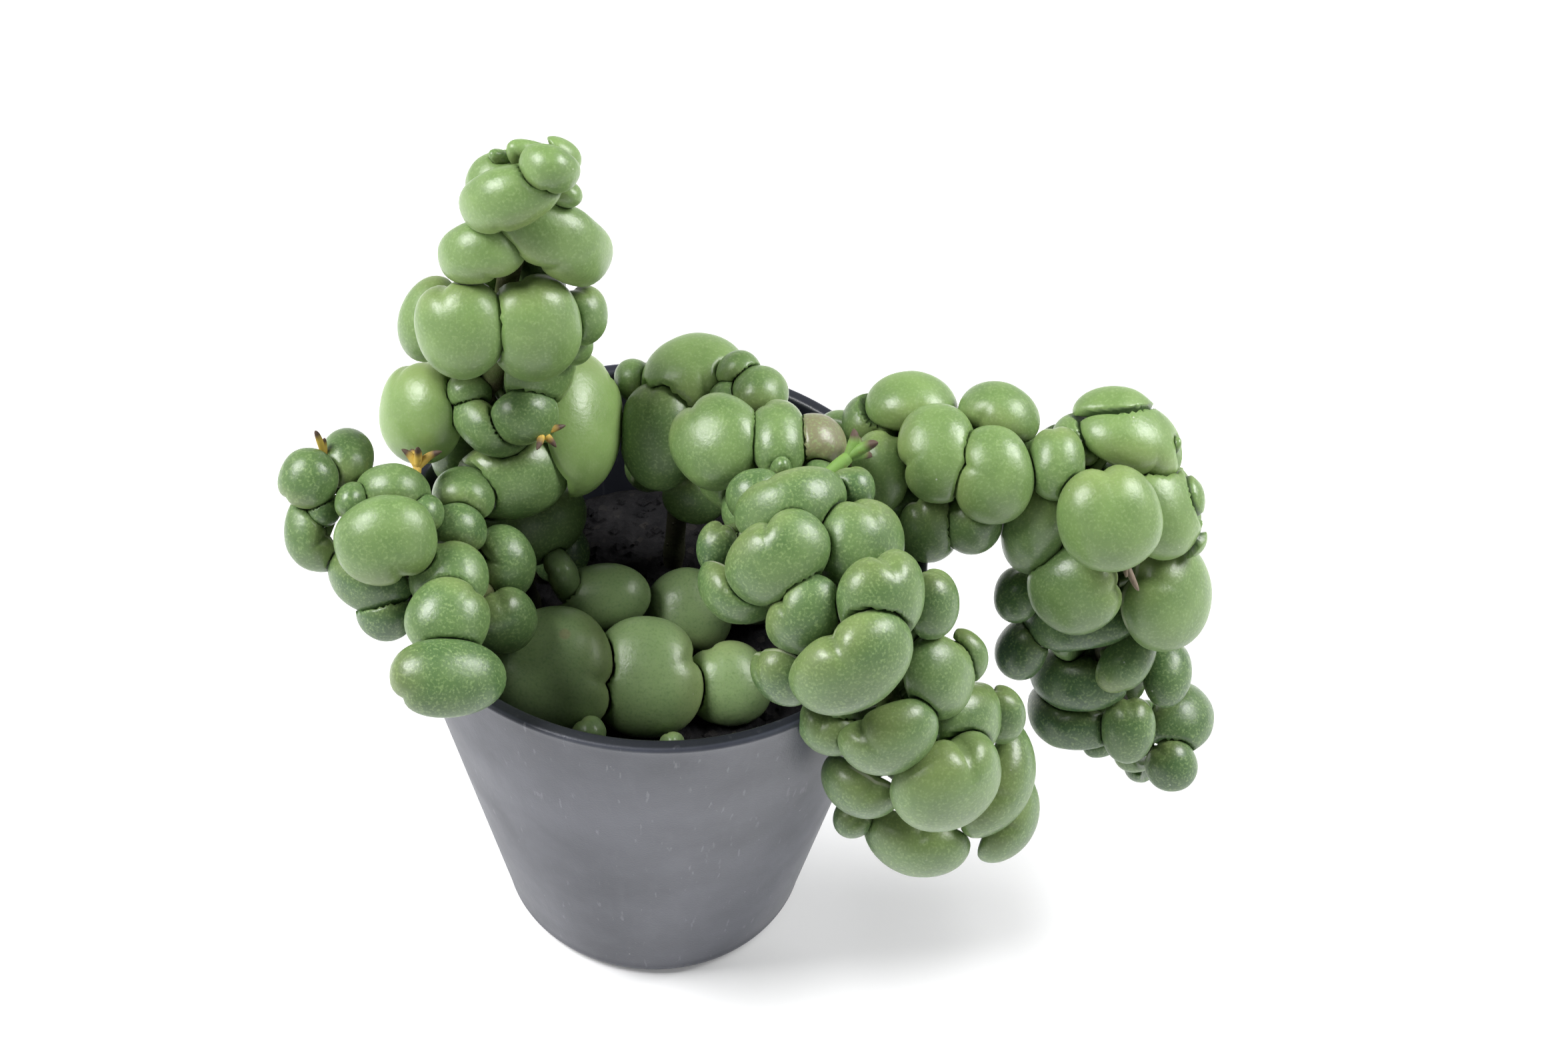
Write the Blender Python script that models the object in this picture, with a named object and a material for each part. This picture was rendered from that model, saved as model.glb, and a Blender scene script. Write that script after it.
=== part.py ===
# Potted dischidia: a trailing plant with thick, rounded, pebble-like leaves in a soft plastic
# nursery pot.  Five stems rise from the soil; one stands up, one leans over the left rim with a
# short side branch, one crosses the front rim as a tight cone of leaves, one arches to the right
# and hangs, and a short runner carries large young leaves that lie on the soil.
#
# Lengths below are millimetres and become metres when a mesh is made.  X is right, Y is back,
# Z is up; the origin is the centre of the pot's resting face.

import math

import bpy
import bmesh
import numpy as np
from mathutils import Vector

MM = 0.001

# ---------------------------------------------------------------- driving dimensions

RIM_RADIUS = 52.5            # a 10.5 cm nursery pot
POT_HEIGHT = 100.5
BASE_RADIUS = 29.1           # where the wall meets the rounded bottom edge
BASE_ROUND = 3.5             # radius of that bottom edge
WALL = 1.3
LIP_WIDTH = 3.0              # the wall is thicker along the rim
LIP_DEPTH = 4.0
FLOOR = 1.6
CORNER = 6.0                 # height of the slanted inner corner between floor and wall
DRAIN_RADIUS = 3.0
DRAIN_RING = 17.0
DRAIN_COUNT = 4
POT_SIDES = 48

SOIL_TOP = 72.0
GAP = 0.3                    # clear space between neighbouring pieces

STEM_RADIUS = 2.2
STEM_SIDES = 8
STEM_STEP = 9.0              # spacing of the rings along a stem

LEAF_AROUND = 12             # facets around a leaf
LEAF_OVER = 7                # facets from its face to its back
FACE_SWELL = 0.25            # dome height over the smaller leaf size
BACK_SWELL = 0.19
CONTACT = 0.13               # relative clearance between pressed leaves
LIGHT = np.array([0.0, -0.70, 0.714])    # leaves turn their faces this way
CONE_START = {"C": 85.0}     # from here on a stem's leaves overlap like scales
CONE_TILT = 0.8              # how far those leaves lean toward the stem's tip

# Each stem: points of its centreline from the soil to the tip.
STEMS = {
    "A": [(-24, 17, 72), (-29, 16, 88), (-31, 11, 112), (-32, 11, 129), (-30, 11, 144),
          (-28, 12, 158), (-25, 13, 170), (-22, 13, 180), (-21, 12, 184)],
    "B": [(-26, 9, 72), (-28, 1, 92), (-32, -6, 102), (-40, -12, 111), (-48, -14, 118),
          (-55, -11, 122), (-63, -6, 123)],
    "K": [(-24, -4, 72), (-28, -8, 92), (-34, -19, 106), (-38, -29, 109), (-40, -36, 108)],
    "C": [(3, 22, 72), (4, 24, 92), (5, 19, 112), (13, 8, 123), (20, -10, 128),
          (27, -29, 129), (34, -40, 121), (43, -42, 103), (51, -41, 84), (55, -41, 68)],
    "D": [(14, 18, 72), (25, 18, 100), (38, 11, 113), (50, 6, 117), (63, 4, 119),
          (75, 2, 118), (84, -1, 113), (88, -4, 99), (89, -6, 82), (93, -8, 67),
          (100, -9, 54), (106, -9, 45)],
}

# Each leaf: (along the stem, degrees around it from the lit side, distance of the leaf's centre
# from the stem, length, width, degrees the leaf tip is turned from the stem's own direction).
LEAVES = {
    "A": [(119, 25, 5, 8, 11, -10), (110, -20, 10, 11, 20, 50), (95, -35, 10, 11, 17, 40),
          (100, 75, 9, 13, 27, -30), (83, 40, 11, 20, 17, -170), (82, -30, 13, 18, 17, -150),
          (75, -85, 14, 16, 12, -165), (55, -85, 14, 19, 19, -165), (48, 95, 16, 28, 21, 125),
          (45, 15, 10, 16, 22, -180), (25, 35, 8, 16, 23, 170), (70, 170, 9, 17, 19, 180)],
    "B": [(76, -10, 7, 11, 11, -85), (61, -15, 11, 16, 19, -40), (59, -85, 12, 12, 17, 130),
          (64, 60, 7, 9, 14, -55), (72, -85, 12, 9, 17, 25), (38, -5, 7, 11, 15, -155)],
    "K": [(47, 40, 8, 13, 15, 20), (36, -60, 7, 14, 13, 160), (67, -25, 9, 21, 14, 115)],
    "C": [(48, -85, 10, 19, 21, 140), (46, 0, 9, 21, 16, -105), (70, 30, 9, 18, 18, 0),
          (94, -5, 9, 12, 21, -5), (101, 35, 11, 15, 20, 5), (103, -85, 9, 18, 18, -15),
          (111, -45, 11, 17, 17, -10), (116, 15, 12, 17, 24, 10), (133, -70, 11, 15, 21, -70),
          (149, -5, 12, 21, 22, -10), (166, -80, 14, 14, 24, 30), (174, 60, 8, 15, 21, -10)],
    "D": [(61, -90, 12, 14, 18, 110), (58, 20, 7, 16, 11, -85), (68, -15, 9, 15, 19, 0),
          (78, 15, 9, 15, 19, 5), (95, -85, 17, 12, 20, 100), (98, 5, 13, 20, 20, -30),
          (104, -75, 12, 19, 19, -30), (90, 95, 12, 23, 12, -75), (113, 50, 11, 18, 18, -55),
          (120, -75, 12, 21, 22, 15), (142, 100, 9, 12, 24, 5), (167, -85, 10, 13, 19, -25)],
}

# Young leaves lying on the soil: (x, y, height of the centre, length, width, heading of the tip).
BASAL_LEAVES = [(-20, -20, 85, 24, 25, 195), (-2, -18, 81, 22, 24, 180), (-12, -2, 86, 20, 14, 15),
                (6, 2, 78, 17, 18, 90), (14, -16, 77, 17, 17, -80)]

# Short flower stalks left on the stems: (stem, along, around, length, radius at the foot, rise
# along the stem).
STALKS = [("A", 53, 42, 10.0, 1.2, 4.0), ("B", 60, 105, 8.0, 1.2, 2.0),
          ("C", 86, -85, 11.0, 1.8, -2.0)]


# ---------------------------------------------------------------- scene, materials, mesh makers

def clear_scene():
    """Remove whatever the file holds so that only this object is in it."""
    for thing in list(bpy.data.objects):
        bpy.data.objects.remove(thing, do_unlink=True)


def make_material(name, colour, roughness, metallic=0.0):
    """A Principled material with one plain colour."""
    material = bpy.data.materials.new(name)
    material.use_nodes = True
    shader = material.node_tree.nodes["Principled BSDF"]
    shader.inputs["Base Color"].default_value = (*colour, 1.0)
    shader.inputs["Roughness"].default_value = roughness
    shader.inputs["Metallic"].default_value = metallic
    return material


def add_object(name, points, faces, material, origin=(0.0, 0.0, 0.0)):
    """Make a named object from points in millimetres, with its origin at the given place."""
    origin = np.asarray(origin, float)
    mesh = bpy.data.meshes.new(name)
    local = (np.asarray(points, float) - origin) * MM
    mesh.from_pydata([tuple(p) for p in local], [], faces)
    mesh.materials.append(material)
    outward = bmesh.new()
    outward.from_mesh(mesh)
    bmesh.ops.recalc_face_normals(outward, faces=outward.faces)
    outward.to_mesh(mesh)
    outward.free()
    thing = bpy.data.objects.new(name, mesh)
    thing.location = Vector(origin * MM)
    bpy.context.scene.collection.objects.link(thing)
    return thing


def turned_solid(profile, sides):
    """Points and faces of a (radius, height) profile, from axis to axis, turned about Z."""
    ring = profile[1:-1]
    count = len(ring)
    points = [(0.0, 0.0, profile[0][1]), (0.0, 0.0, profile[-1][1])]
    for k in range(sides):
        angle = 2 * math.pi * k / sides
        points += [(r * math.cos(angle), r * math.sin(angle), z) for r, z in ring]
    faces = []
    for k in range(sides):
        here = 2 + k * count
        there = 2 + (k + 1) % sides * count
        faces.append((0, there, here))
        faces.append((1, here + count - 1, there + count - 1))
        for i in range(count - 1):
            faces.append((here + i, there + i, there + i + 1, here + i + 1))
    return points, faces


# ---------------------------------------------------------------- pot and soil

def wall_radius(z):
    """Outer radius of the pot's tapering wall at a height."""
    slope = (RIM_RADIUS - BASE_RADIUS - BASE_ROUND) / (POT_HEIGHT - BASE_ROUND)
    return BASE_RADIUS + BASE_ROUND + slope * (z - BASE_ROUND)


def pot_profile():
    """Section of the pot from the axis, out and up the wall, over the lip and down inside."""
    rounding = [(BASE_RADIUS + BASE_ROUND * math.sin(a), BASE_ROUND - BASE_ROUND * math.cos(a))
                for a in (0.0, math.pi / 6, math.pi / 3, math.pi / 2)]
    outside = rounding + [(RIM_RADIUS, POT_HEIGHT - 0.8), (RIM_RADIUS - 0.8, POT_HEIGHT)]
    lip_inner = RIM_RADIUS - LIP_WIDTH
    below_lip = POT_HEIGHT - LIP_DEPTH
    inside = [(lip_inner, POT_HEIGHT), (lip_inner, below_lip + 2.0),
              (wall_radius(below_lip) - WALL, below_lip),
              (wall_radius(CORNER) - WALL, CORNER), (wall_radius(CORNER) - WALL - CORNER / 2, FLOOR)]
    return [(0.0, 0.0)] + outside + inside + [(0.0, FLOOR)]


def make_pot(material):
    """The pot, open at the top, with drainage holes cut through its floor."""
    points, faces = turned_solid(pot_profile(), POT_SIDES)
    pot = add_object("pot", points, faces, material)
    for k in range(DRAIN_COUNT):
        angle = math.pi / 4 + 2 * math.pi * k / DRAIN_COUNT
        bpy.ops.mesh.primitive_cylinder_add(vertices=12, radius=DRAIN_RADIUS * MM,
                                            depth=10 * MM)
        cutter = bpy.context.active_object
        cutter.name = f"drain_cutter_{k + 1}"
        cutter.location = (DRAIN_RING * MM * math.cos(angle), DRAIN_RING * MM * math.sin(angle), 0.0)
        cutter.hide_render = True
        cutter.display_type = "WIRE"
        cut = pot.modifiers.new(f"drain_{k + 1}", "BOOLEAN")
        cut.operation = "DIFFERENCE"
        cut.solver = "EXACT"
        cut.object = cutter
    return pot


def make_soil(material):
    """The plug of potting mix, a little lower at its edge than at its centre."""
    clear = WALL + 2 * GAP
    floor = FLOOR + GAP
    top = wall_radius(SOIL_TOP) - clear
    profile = [(0.0, floor), (wall_radius(CORNER) - clear - CORNER / 2, floor),
               (wall_radius(CORNER) - clear, CORNER + 1.0), (top - 0.4, SOIL_TOP - 2.0),
               (top - 4.0, SOIL_TOP - 0.5), (0.0, SOIL_TOP)]
    points, faces = turned_solid(profile, POT_SIDES)
    return add_object("soil", points, faces, material)


# ---------------------------------------------------------------- stems

def smooth_curve(points, per_span=24):
    """Catmull-Rom curve through the points: positions along it, tangents and arc lengths."""
    knots = np.asarray(points, float)
    knots = np.vstack([2 * knots[0] - knots[1], knots, 2 * knots[-1] - knots[-2]])
    t = np.linspace(0.0, 1.0, per_span, endpoint=False)[:, None]
    spans = []
    for i in range(1, len(knots) - 2):
        a, b, c, d = knots[i - 1:i + 3]
        spans.append(0.5 * (2 * b + (c - a) * t + (2 * a - 5 * b + 4 * c - d) * t ** 2
                            + (3 * b - a - 3 * c + d) * t ** 3))
    line = np.vstack(spans + [knots[-2:-1]])
    tangent = np.gradient(line, axis=0)
    tangent /= np.linalg.norm(tangent, axis=1)[:, None]
    along = np.concatenate([[0.0], np.cumsum(np.linalg.norm(np.diff(line, axis=0), axis=1))])
    return line, tangent, along


def lit_frame(tangent):
    """Unit vectors across a stem: toward the light, and sideways from it."""
    lit = LIGHT - (tangent @ LIGHT) * tangent
    lit /= np.linalg.norm(lit)
    return lit, np.cross(tangent, lit)


def tube(line, radii, sides):
    """Points and faces of a closed tube of the given radii along a line."""
    line = np.asarray(line, float)
    tangent = np.gradient(line, axis=0)
    tangent /= np.linalg.norm(tangent, axis=1)[:, None]
    points = [tuple(line[0])]
    for centre, direction, radius in zip(line, tangent, radii):
        lit, side = lit_frame(direction)
        for k in range(sides):
            angle = 2 * math.pi * k / sides
            points.append(tuple(centre + radius * (math.cos(angle) * lit + math.sin(angle) * side)))
    points.append(tuple(line[-1]))
    last = len(points) - 1
    rings = len(line)
    faces = []
    for k in range(sides):
        j = (k + 1) % sides
        faces.append((0, 1 + j, 1 + k))
        faces.append((last, last - sides + k, last - sides + j))
        for i in range(rings - 1):
            a = 1 + i * sides
            faces.append((a + k, a + j, a + sides + j, a + sides + k))
    return points, faces


def make_stem(name, curve, material):
    """A stem from just above the soil to its tip, thinner over its last stretch."""
    line, tangent, along = curve
    start = GAP + 0.3
    count = max(4, round((along[-1] - start) / STEM_STEP) + 1)
    places = np.linspace(start, along[-1], count)
    centre = np.column_stack([np.interp(places, along, line[:, i]) for i in range(3)])
    radii = STEM_RADIUS * np.clip((along[-1] + 6.0 - places) / 30.0, 0.45, 1.0)
    points, faces = tube(centre, radii, STEM_SIDES)
    return add_object(f"stem_{name}", points, faces, material)


def make_stalk(number, row, curves, material):
    """A short tapering flower stalk standing out from between the leaves."""
    stem, place, around, length, radius, rise = row
    line, tangent, along = curves[stem]
    i = int(np.searchsorted(along, place))
    lit, side = lit_frame(tangent[i])
    angle = math.radians(around)
    out = math.cos(angle) * lit + math.sin(angle) * side
    start = line[i] + out * (STEM_RADIUS + GAP + 0.4)
    steps = np.linspace(0.0, 1.0, 17)[:, None]
    path = start + out * length * steps + tangent[i] * rise * steps ** 2
    radii = radius * (1.0 - 0.45 * steps[:, 0])
    points, faces = tube(path[::4], radii[::4], 6)
    return add_object(f"flower_stalk_{number}", points, faces, material), path


# ---------------------------------------------------------------- leaves

class Leaf:
    """A swollen leaf: x across it, y from its base to its tip, z out of its face.

    Seen from its centre every direction meets the surface once.  In the plane of the leaf the
    radius is a full oval with a slight point at the tip and a notch at the base; out of the plane
    it rounds off to the dome of the face or the shallower back.  The whole leaf then bends back
    like a shallow saddle around the stem.
    """

    def __init__(self, name, centre, normal, tip, length, width):
        self.name = name
        self.centre = np.asarray(centre, float)
        z = normal / np.linalg.norm(normal)
        y = tip - (tip @ z) * z
        y /= np.linalg.norm(y)
        self.axes = np.array([np.cross(y, z), y, z])
        self.length = length
        self.width = width
        small = min(length, width)
        self.face = FACE_SWELL * small + 1.2
        self.back = BACK_SWELL * small + 1.0
        self.bend = 1.3 / (0.5 * small) ** 2
        self.reach = 0.6 * max(length, width)
        self.rank = self.centre @ LIGHT      # the higher of two neighbours is pressed less

    def radius(self, direction):
        """Distance from the centre to the unbent surface along unit directions."""
        x, y, z = direction[..., 0], direction[..., 1], direction[..., 2]
        flat = np.sqrt(x * x + y * y) + 1e-9
        turn = np.arctan2(x, y)
        across, lengthways = np.abs(x) / flat, np.abs(y) / flat
        oval = ((across / (self.width / 2)) ** 2.25 + (lengthways / (self.length / 2)) ** 2.25
                + 1e-9) ** (-1.0 / 2.25)
        from_base = np.pi - np.abs(turn)
        oval = oval * (1.0 + 0.05 * np.exp(-(turn / 0.4) ** 2)
                       - 0.12 * flat ** 2 * np.exp(-(from_base / 0.20) ** 1.4))
        swell = np.where(z > 0.0, self.face, self.back)
        power = 2.45
        return ((flat / oval) ** power + (np.abs(z) / swell) ** power) ** (-1.0 / power)

    def place(self, local):
        """Bend local points and put them in the world."""
        bent = local.copy()
        bent[..., 2] -= self.bend * (local[..., 0] ** 2 + 0.6 * local[..., 1] ** 2)
        return self.centre + bent @ self.axes

    def depth(self, points):
        """0 at the leaf's centre, 1 on its surface, more outside."""
        local = (points - self.centre) @ self.axes.T
        local[..., 2] += self.bend * (local[..., 0] ** 2 + 0.6 * local[..., 1] ** 2)
        distance = np.linalg.norm(local, axis=-1) + 1e-9
        return distance / self.radius(local / distance[..., None])


def stem_leaf(name, row, curve, cone_start):
    """A leaf placed on its stem, its face turned outward and toward the light."""
    place, around, lift, length, width, turn = row
    line, tangent, along = curve
    i = min(int(np.searchsorted(along, place)), len(line) - 1)
    past_tip = max(place - along[-1], 0.0)
    lit, side = lit_frame(tangent[i])
    angle = math.radians(around)
    outward = math.cos(angle) * lit + math.sin(angle) * side
    centre = line[i] + outward * lift + tangent[i] * past_tip
    cone = max(place - cone_start, 0.0)
    normal = outward + (LIGHT if abs(around) < 120 else 0.0)
    normal = normal + CONE_TILT * min(cone / 20.0, 1.0) * tangent[i]
    normal = normal / np.linalg.norm(normal)
    ahead = tangent[i] - (tangent[i] @ normal) * normal
    ahead /= np.linalg.norm(ahead)
    angle = math.radians(turn)
    tip = math.cos(angle) * ahead + math.sin(angle) * np.cross(normal, ahead)
    leaf = Leaf(name, centre, normal, tip, length, width)
    leaf.rank += 1.1 * cone
    return leaf


def basal_leaf(name, row):
    """A leaf lying on the soil, tilted a little toward the light."""
    x, y, height, length, width, heading = row
    angle = math.radians(heading)
    tip = np.array([math.cos(angle), math.sin(angle), 0.0])
    return Leaf(name, (x, y, height), np.array([0.0, -0.60, 0.80]), tip, length, width)


def in_pot(points, gap):
    """True where a point lies in the pot's wall, its lip or the soil, grown by a gap."""
    distance = np.hypot(points[..., 0], points[..., 1])
    z = points[..., 2]
    outer = wall_radius(z) + gap
    inner = np.where(z > POT_HEIGHT - LIP_DEPTH - gap, RIM_RADIUS - LIP_WIDTH,
                     wall_radius(z) - WALL) - gap
    wall = (z < POT_HEIGHT + gap) & (distance < outer) & (distance > inner)
    return wall | ((z < SOIL_TOP + gap) & (distance < outer))


def near_lines(points, lines, gap):
    """True where a point is inside or close to one of the (line, radius) tubes."""
    close = np.zeros(points.shape[:-1], bool)
    for line, radius in lines:
        low = line.min(axis=0) - radius - gap
        high = line.max(axis=0) + radius + gap
        inside = np.all((points > low) & (points < high), axis=-1)
        picked = points[inside]
        if len(picked):
            gaps = np.linalg.norm(picked[:, None, :] - line[None, :, :], axis=-1).min(axis=1)
            close[inside] |= gaps < radius + gap
    return close


def pressed_points(leaf, directions, others, lines):
    """Grow the leaf along each direction until it is full or meets a neighbour."""
    full = leaf.radius(directions)
    steps = np.linspace(0.05, 1.0, 39)
    local = directions[:, None, :] * (full[:, None] * steps)[..., None]
    points = leaf.place(local)
    blocked = in_pot(points, 2 * GAP) | near_lines(points, lines, 4 * GAP)
    for other in others:
        apart = np.linalg.norm(other.centre - leaf.centre)
        if other is leaf or apart > leaf.reach + other.reach:
            continue
        ahead = (leaf.rank - other.rank) / (0.5 * (leaf.reach + other.reach))
        sharing = np.clip(0.5 * ahead, -0.45, 0.45)
        mine = max(leaf.depth(other.centre[None])[0] - 2 * CONTACT, 0.0)
        theirs = max(other.depth(leaf.centre[None])[0] - 2 * CONTACT, 0.0)
        sharing = np.clip(sharing, -0.7 * theirs, 0.7 * mine)
        blocked |= other.depth(points) < steps[None, :] + CONTACT - sharing
    first = np.where(blocked.any(axis=1), blocked.argmax(axis=1), len(steps))
    reach = np.where(first >= len(steps), 1.0, steps[np.maximum(first - 1, 0)])
    return leaf.place(directions * (full * reach)[:, None])


def leaf_directions():
    """Unit directions and faces of a globe whose poles are the leaf's face and back."""
    around = 2 * np.pi * np.arange(LEAF_AROUND) / LEAF_AROUND
    over = np.pi * (np.arange(1, LEAF_OVER) / LEAF_OVER)
    flat = np.sin(over)[:, None]
    rings = np.stack([flat * np.sin(around), flat * np.cos(around),
                      np.cos(over)[:, None] * np.ones(LEAF_AROUND)], axis=-1)
    directions = np.vstack([[[0.0, 0.0, 1.0]], rings.reshape(-1, 3), [[0.0, 0.0, -1.0]]])
    last = len(directions) - 1
    faces = []
    for k in range(LEAF_AROUND):
        j = (k + 1) % LEAF_AROUND
        faces.append((0, 1 + k, 1 + j))
        faces.append((last, last - LEAF_AROUND + j, last - LEAF_AROUND + k))
        for i in range(LEAF_OVER - 2):
            a = 1 + i * LEAF_AROUND
            faces.append((a + k, a + LEAF_AROUND + k, a + LEAF_AROUND + j, a + j))
    return directions, faces


# ---------------------------------------------------------------- build

clear_scene()

PLASTIC = make_material("pot_plastic", (0.105, 0.110, 0.135), 0.55)
SOIL = make_material("soil", (0.020, 0.016, 0.013), 0.95)
STEM = make_material("stem", (0.160, 0.170, 0.075), 0.60)
STALK = make_material("flower_stalk", (0.420, 0.330, 0.090), 0.60)
LEAF = make_material("leaf", (0.130, 0.270, 0.080), 0.38)
YOUNG_LEAF = make_material("leaf_young", (0.260, 0.420, 0.130), 0.38)

make_pot(PLASTIC)
make_soil(SOIL)

curves = {name: smooth_curve(points) for name, points in STEMS.items()}
lines = []
for name, curve in curves.items():
    make_stem(name, curve, STEM)
    lines.append((curve[0], STEM_RADIUS))

for number, row in enumerate(STALKS, start=1):
    stalk, path = make_stalk(number, row, curves, STALK)
    lines.append((path, row[4]))

leaves = []
for name, rows in LEAVES.items():
    for number, row in enumerate(rows, start=1):
        leaves.append(stem_leaf(f"leaf_{name}{number:02d}", row, curves[name],
                                CONE_START.get(name, math.inf)))
for number, row in enumerate(BASAL_LEAVES, start=1):
    leaves.append(basal_leaf(f"leaf_E{number:02d}", row))

directions, faces = leaf_directions()
for leaf in leaves:
    points = pressed_points(leaf, directions, leaves, lines)
    material = YOUNG_LEAF if leaf.name.startswith("leaf_E") else LEAF
    add_object(leaf.name, points, faces, material, leaf.centre)
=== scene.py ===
# Potted dischidia: a trailing plant with thick pebble-like leaves in a soft plastic nursery pot.
import math

import bpy
import numpy as np
from mathutils import Matrix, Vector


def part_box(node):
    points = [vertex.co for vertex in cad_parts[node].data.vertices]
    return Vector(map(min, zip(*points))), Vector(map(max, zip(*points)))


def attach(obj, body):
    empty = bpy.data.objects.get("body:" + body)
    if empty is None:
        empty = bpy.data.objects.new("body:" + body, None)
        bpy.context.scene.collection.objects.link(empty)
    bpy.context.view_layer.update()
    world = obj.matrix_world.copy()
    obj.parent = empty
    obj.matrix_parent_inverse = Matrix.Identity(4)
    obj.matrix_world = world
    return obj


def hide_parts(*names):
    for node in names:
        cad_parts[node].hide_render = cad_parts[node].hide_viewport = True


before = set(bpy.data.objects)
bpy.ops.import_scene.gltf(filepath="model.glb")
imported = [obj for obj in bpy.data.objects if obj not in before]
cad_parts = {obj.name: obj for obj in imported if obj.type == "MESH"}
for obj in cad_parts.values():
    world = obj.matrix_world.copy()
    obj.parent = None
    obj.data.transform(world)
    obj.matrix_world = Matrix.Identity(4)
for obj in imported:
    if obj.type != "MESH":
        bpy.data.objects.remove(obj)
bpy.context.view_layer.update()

MM = 0.001
bpy.context.scene.view_settings.view_transform = "Standard"


# ==================================================================== studio
# A white table top that runs out of sight, a room with bright walls and a dim ceiling, and two
# wide soft lamps overhead, left and right, which give every leaf its pair of soft highlights.

def studio_floor():
    """One square sheet, large enough that no view sees its edge."""
    half = 4.0
    mesh = bpy.data.meshes.new("studio_floor")
    mesh.from_pydata([(-half, -half, 0), (half, -half, 0), (half, half, 0), (-half, half, 0)],
                     [], [(0, 1, 2, 3)])
    sheet = bpy.data.objects.new("studio_floor", mesh)
    bpy.context.scene.collection.objects.link(sheet)
    paper = bpy.data.materials.new("studio_paper")
    paper.use_nodes = True
    shader = paper.node_tree.nodes["Principled BSDF"]
    shader.inputs["Base Color"].default_value = (0.93, 0.93, 0.935, 1)
    shader.inputs["Roughness"].default_value = 0.9
    shader.inputs["Specular IOR Level"].default_value = 0.1
    shader.inputs["Emission Color"].default_value = (1.0, 1.0, 1.0, 1)
    shader.inputs["Emission Strength"].default_value = 0.12
    mesh.materials.append(paper)


def soft_lamp(name, place, target, size, power):
    """A square area lamp at a place, facing a target point."""
    data = bpy.data.lights.new(name, "AREA")
    data.shape = "SQUARE"
    data.size = size
    data.energy = power
    lamp = bpy.data.objects.new(name, data)
    ahead = np.asarray(target, float) - np.asarray(place, float)
    ahead /= np.linalg.norm(ahead)
    right = np.cross(ahead, (0.0, 0.0, 1.0))
    right /= np.linalg.norm(right)
    up = np.cross(right, ahead)
    turned = np.column_stack([right, up, -ahead])
    lamp.matrix_world = Matrix.Translation(place) @ Matrix(turned.tolist()).to_4x4()
    bpy.context.scene.collection.objects.link(lamp)


LAMP_SIZE = 0.42
LAMP_TARGET = (0.0, 0.0, 0.1)
studio_floor()
soft_lamp("lamp_left", (-0.55, -0.05, 0.75), LAMP_TARGET, LAMP_SIZE, 10.5)
soft_lamp("lamp_right", (0.60, 0.10, 0.70), LAMP_TARGET, LAMP_SIZE, 9.5)

# The room's brightness falls from the horizon to overhead.

room = bpy.data.worlds.new("white_room")
room.use_nodes = True
sky = room.node_tree
sky_way = sky.nodes.new("ShaderNodeTexCoord")
sky_height = sky.nodes.new("ShaderNodeSeparateXYZ")
sky_fade = sky.nodes.new("ShaderNodeMapRange")
for label, value in (("From Min", 0.05), ("From Max", 0.55), ("To Min", 0.95), ("To Max", 0.06)):
    sky_fade.inputs[label].default_value = value
sky.links.new(sky_way.outputs["Generated"], sky_height.inputs["Vector"])
sky.links.new(sky_height.outputs["Z"], sky_fade.inputs["Value"])
sky.links.new(sky_fade.outputs["Result"], sky.nodes["Background"].inputs["Strength"])
sky.nodes["Background"].inputs["Color"].default_value = (1.0, 1.0, 1.0, 1)
bpy.context.scene.world = room

# The camera stands in front and looks down on the pot at 46 degrees, turned and rolled by 4.
CAMERA_PLACE = (0.0, -0.3517, 0.4701)
CAMERA_PAN, CAMERA_DOWN, CAMERA_ROLL = (math.radians(a) for a in (3.92, 45.89, 3.64))

lens = bpy.data.cameras.new("camera")
lens.lens = 60.0
lens.sensor_width = 36.0
lens.clip_start = 0.02
camera = bpy.data.objects.new("camera", lens)
level = Matrix.Rotation(-CAMERA_PAN, 4, "Z") @ Matrix.Rotation(math.pi / 2 - CAMERA_DOWN, 4, "X")
camera.matrix_world = (Matrix.Translation(CAMERA_PLACE) @ level
                       @ Matrix.Rotation(CAMERA_ROLL, 4, "Z"))
bpy.context.scene.collection.objects.link(camera)
bpy.context.scene.camera = camera


# ==================================================================== pot
# A soft nursery pot, injection moulded in thin dark plastic: a tapering wall, a thicker lip, a
# rounded bottom edge and four drainage holes.  Handling has left it smudged and finely scratched.

pot_low, pot_high = (np.array(corner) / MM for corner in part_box("pot"))
RIM_RADIUS = (pot_high[0] - pot_low[0]) / 2
POT_HEIGHT = pot_high[2]
BASE_RADIUS = 29.1
BASE_ROUND = 3.5
WALL = 1.3
FLOOR = 1.6
LIP_WIDTH = 3.0
LIP_DEPTH = 4.0
DRAIN_RADIUS = 3.0
DRAIN_RING = 17.0            # distance of the drainage holes from the pot's axis
LIP_EDGE = 0.9               # radius of the lip's rounded edges
INNER_FOOT = 6.0             # height where the inner wall turns in to the floor
POT_SIDES = 160
OVALITY = 0.004              # how far out of round the rim is, as a share of its radius


def wall_radius(z):
    """Outer radius of the wall at a height: a straight taper above the rounded bottom edge."""
    low = BASE_RADIUS + BASE_ROUND
    return low + (RIM_RADIUS - low) * (z - BASE_ROUND) / (POT_HEIGHT - BASE_ROUND)


def arc(centre, radius, start, stop, count):
    """Points of a circular arc in the (radius, height) plane, angles in degrees."""
    a = np.radians(np.linspace(start, stop, count))
    return np.column_stack([centre[0] + radius * np.cos(a), centre[1] + radius * np.sin(a)])


def mesh_piece(name, points, faces, material, smooth=True):
    """Put points in millimetres and faces into a mesh object that sits at the origin."""
    mesh = bpy.data.meshes.new(name)
    mesh.from_pydata((np.asarray(points) * MM).tolist(), [], faces)
    mesh.materials.append(material)
    mesh.polygons.foreach_set("use_smooth", [smooth] * len(mesh.polygons))
    piece = bpy.data.objects.new(name, mesh)
    bpy.context.scene.collection.objects.link(piece)
    return piece


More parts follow.
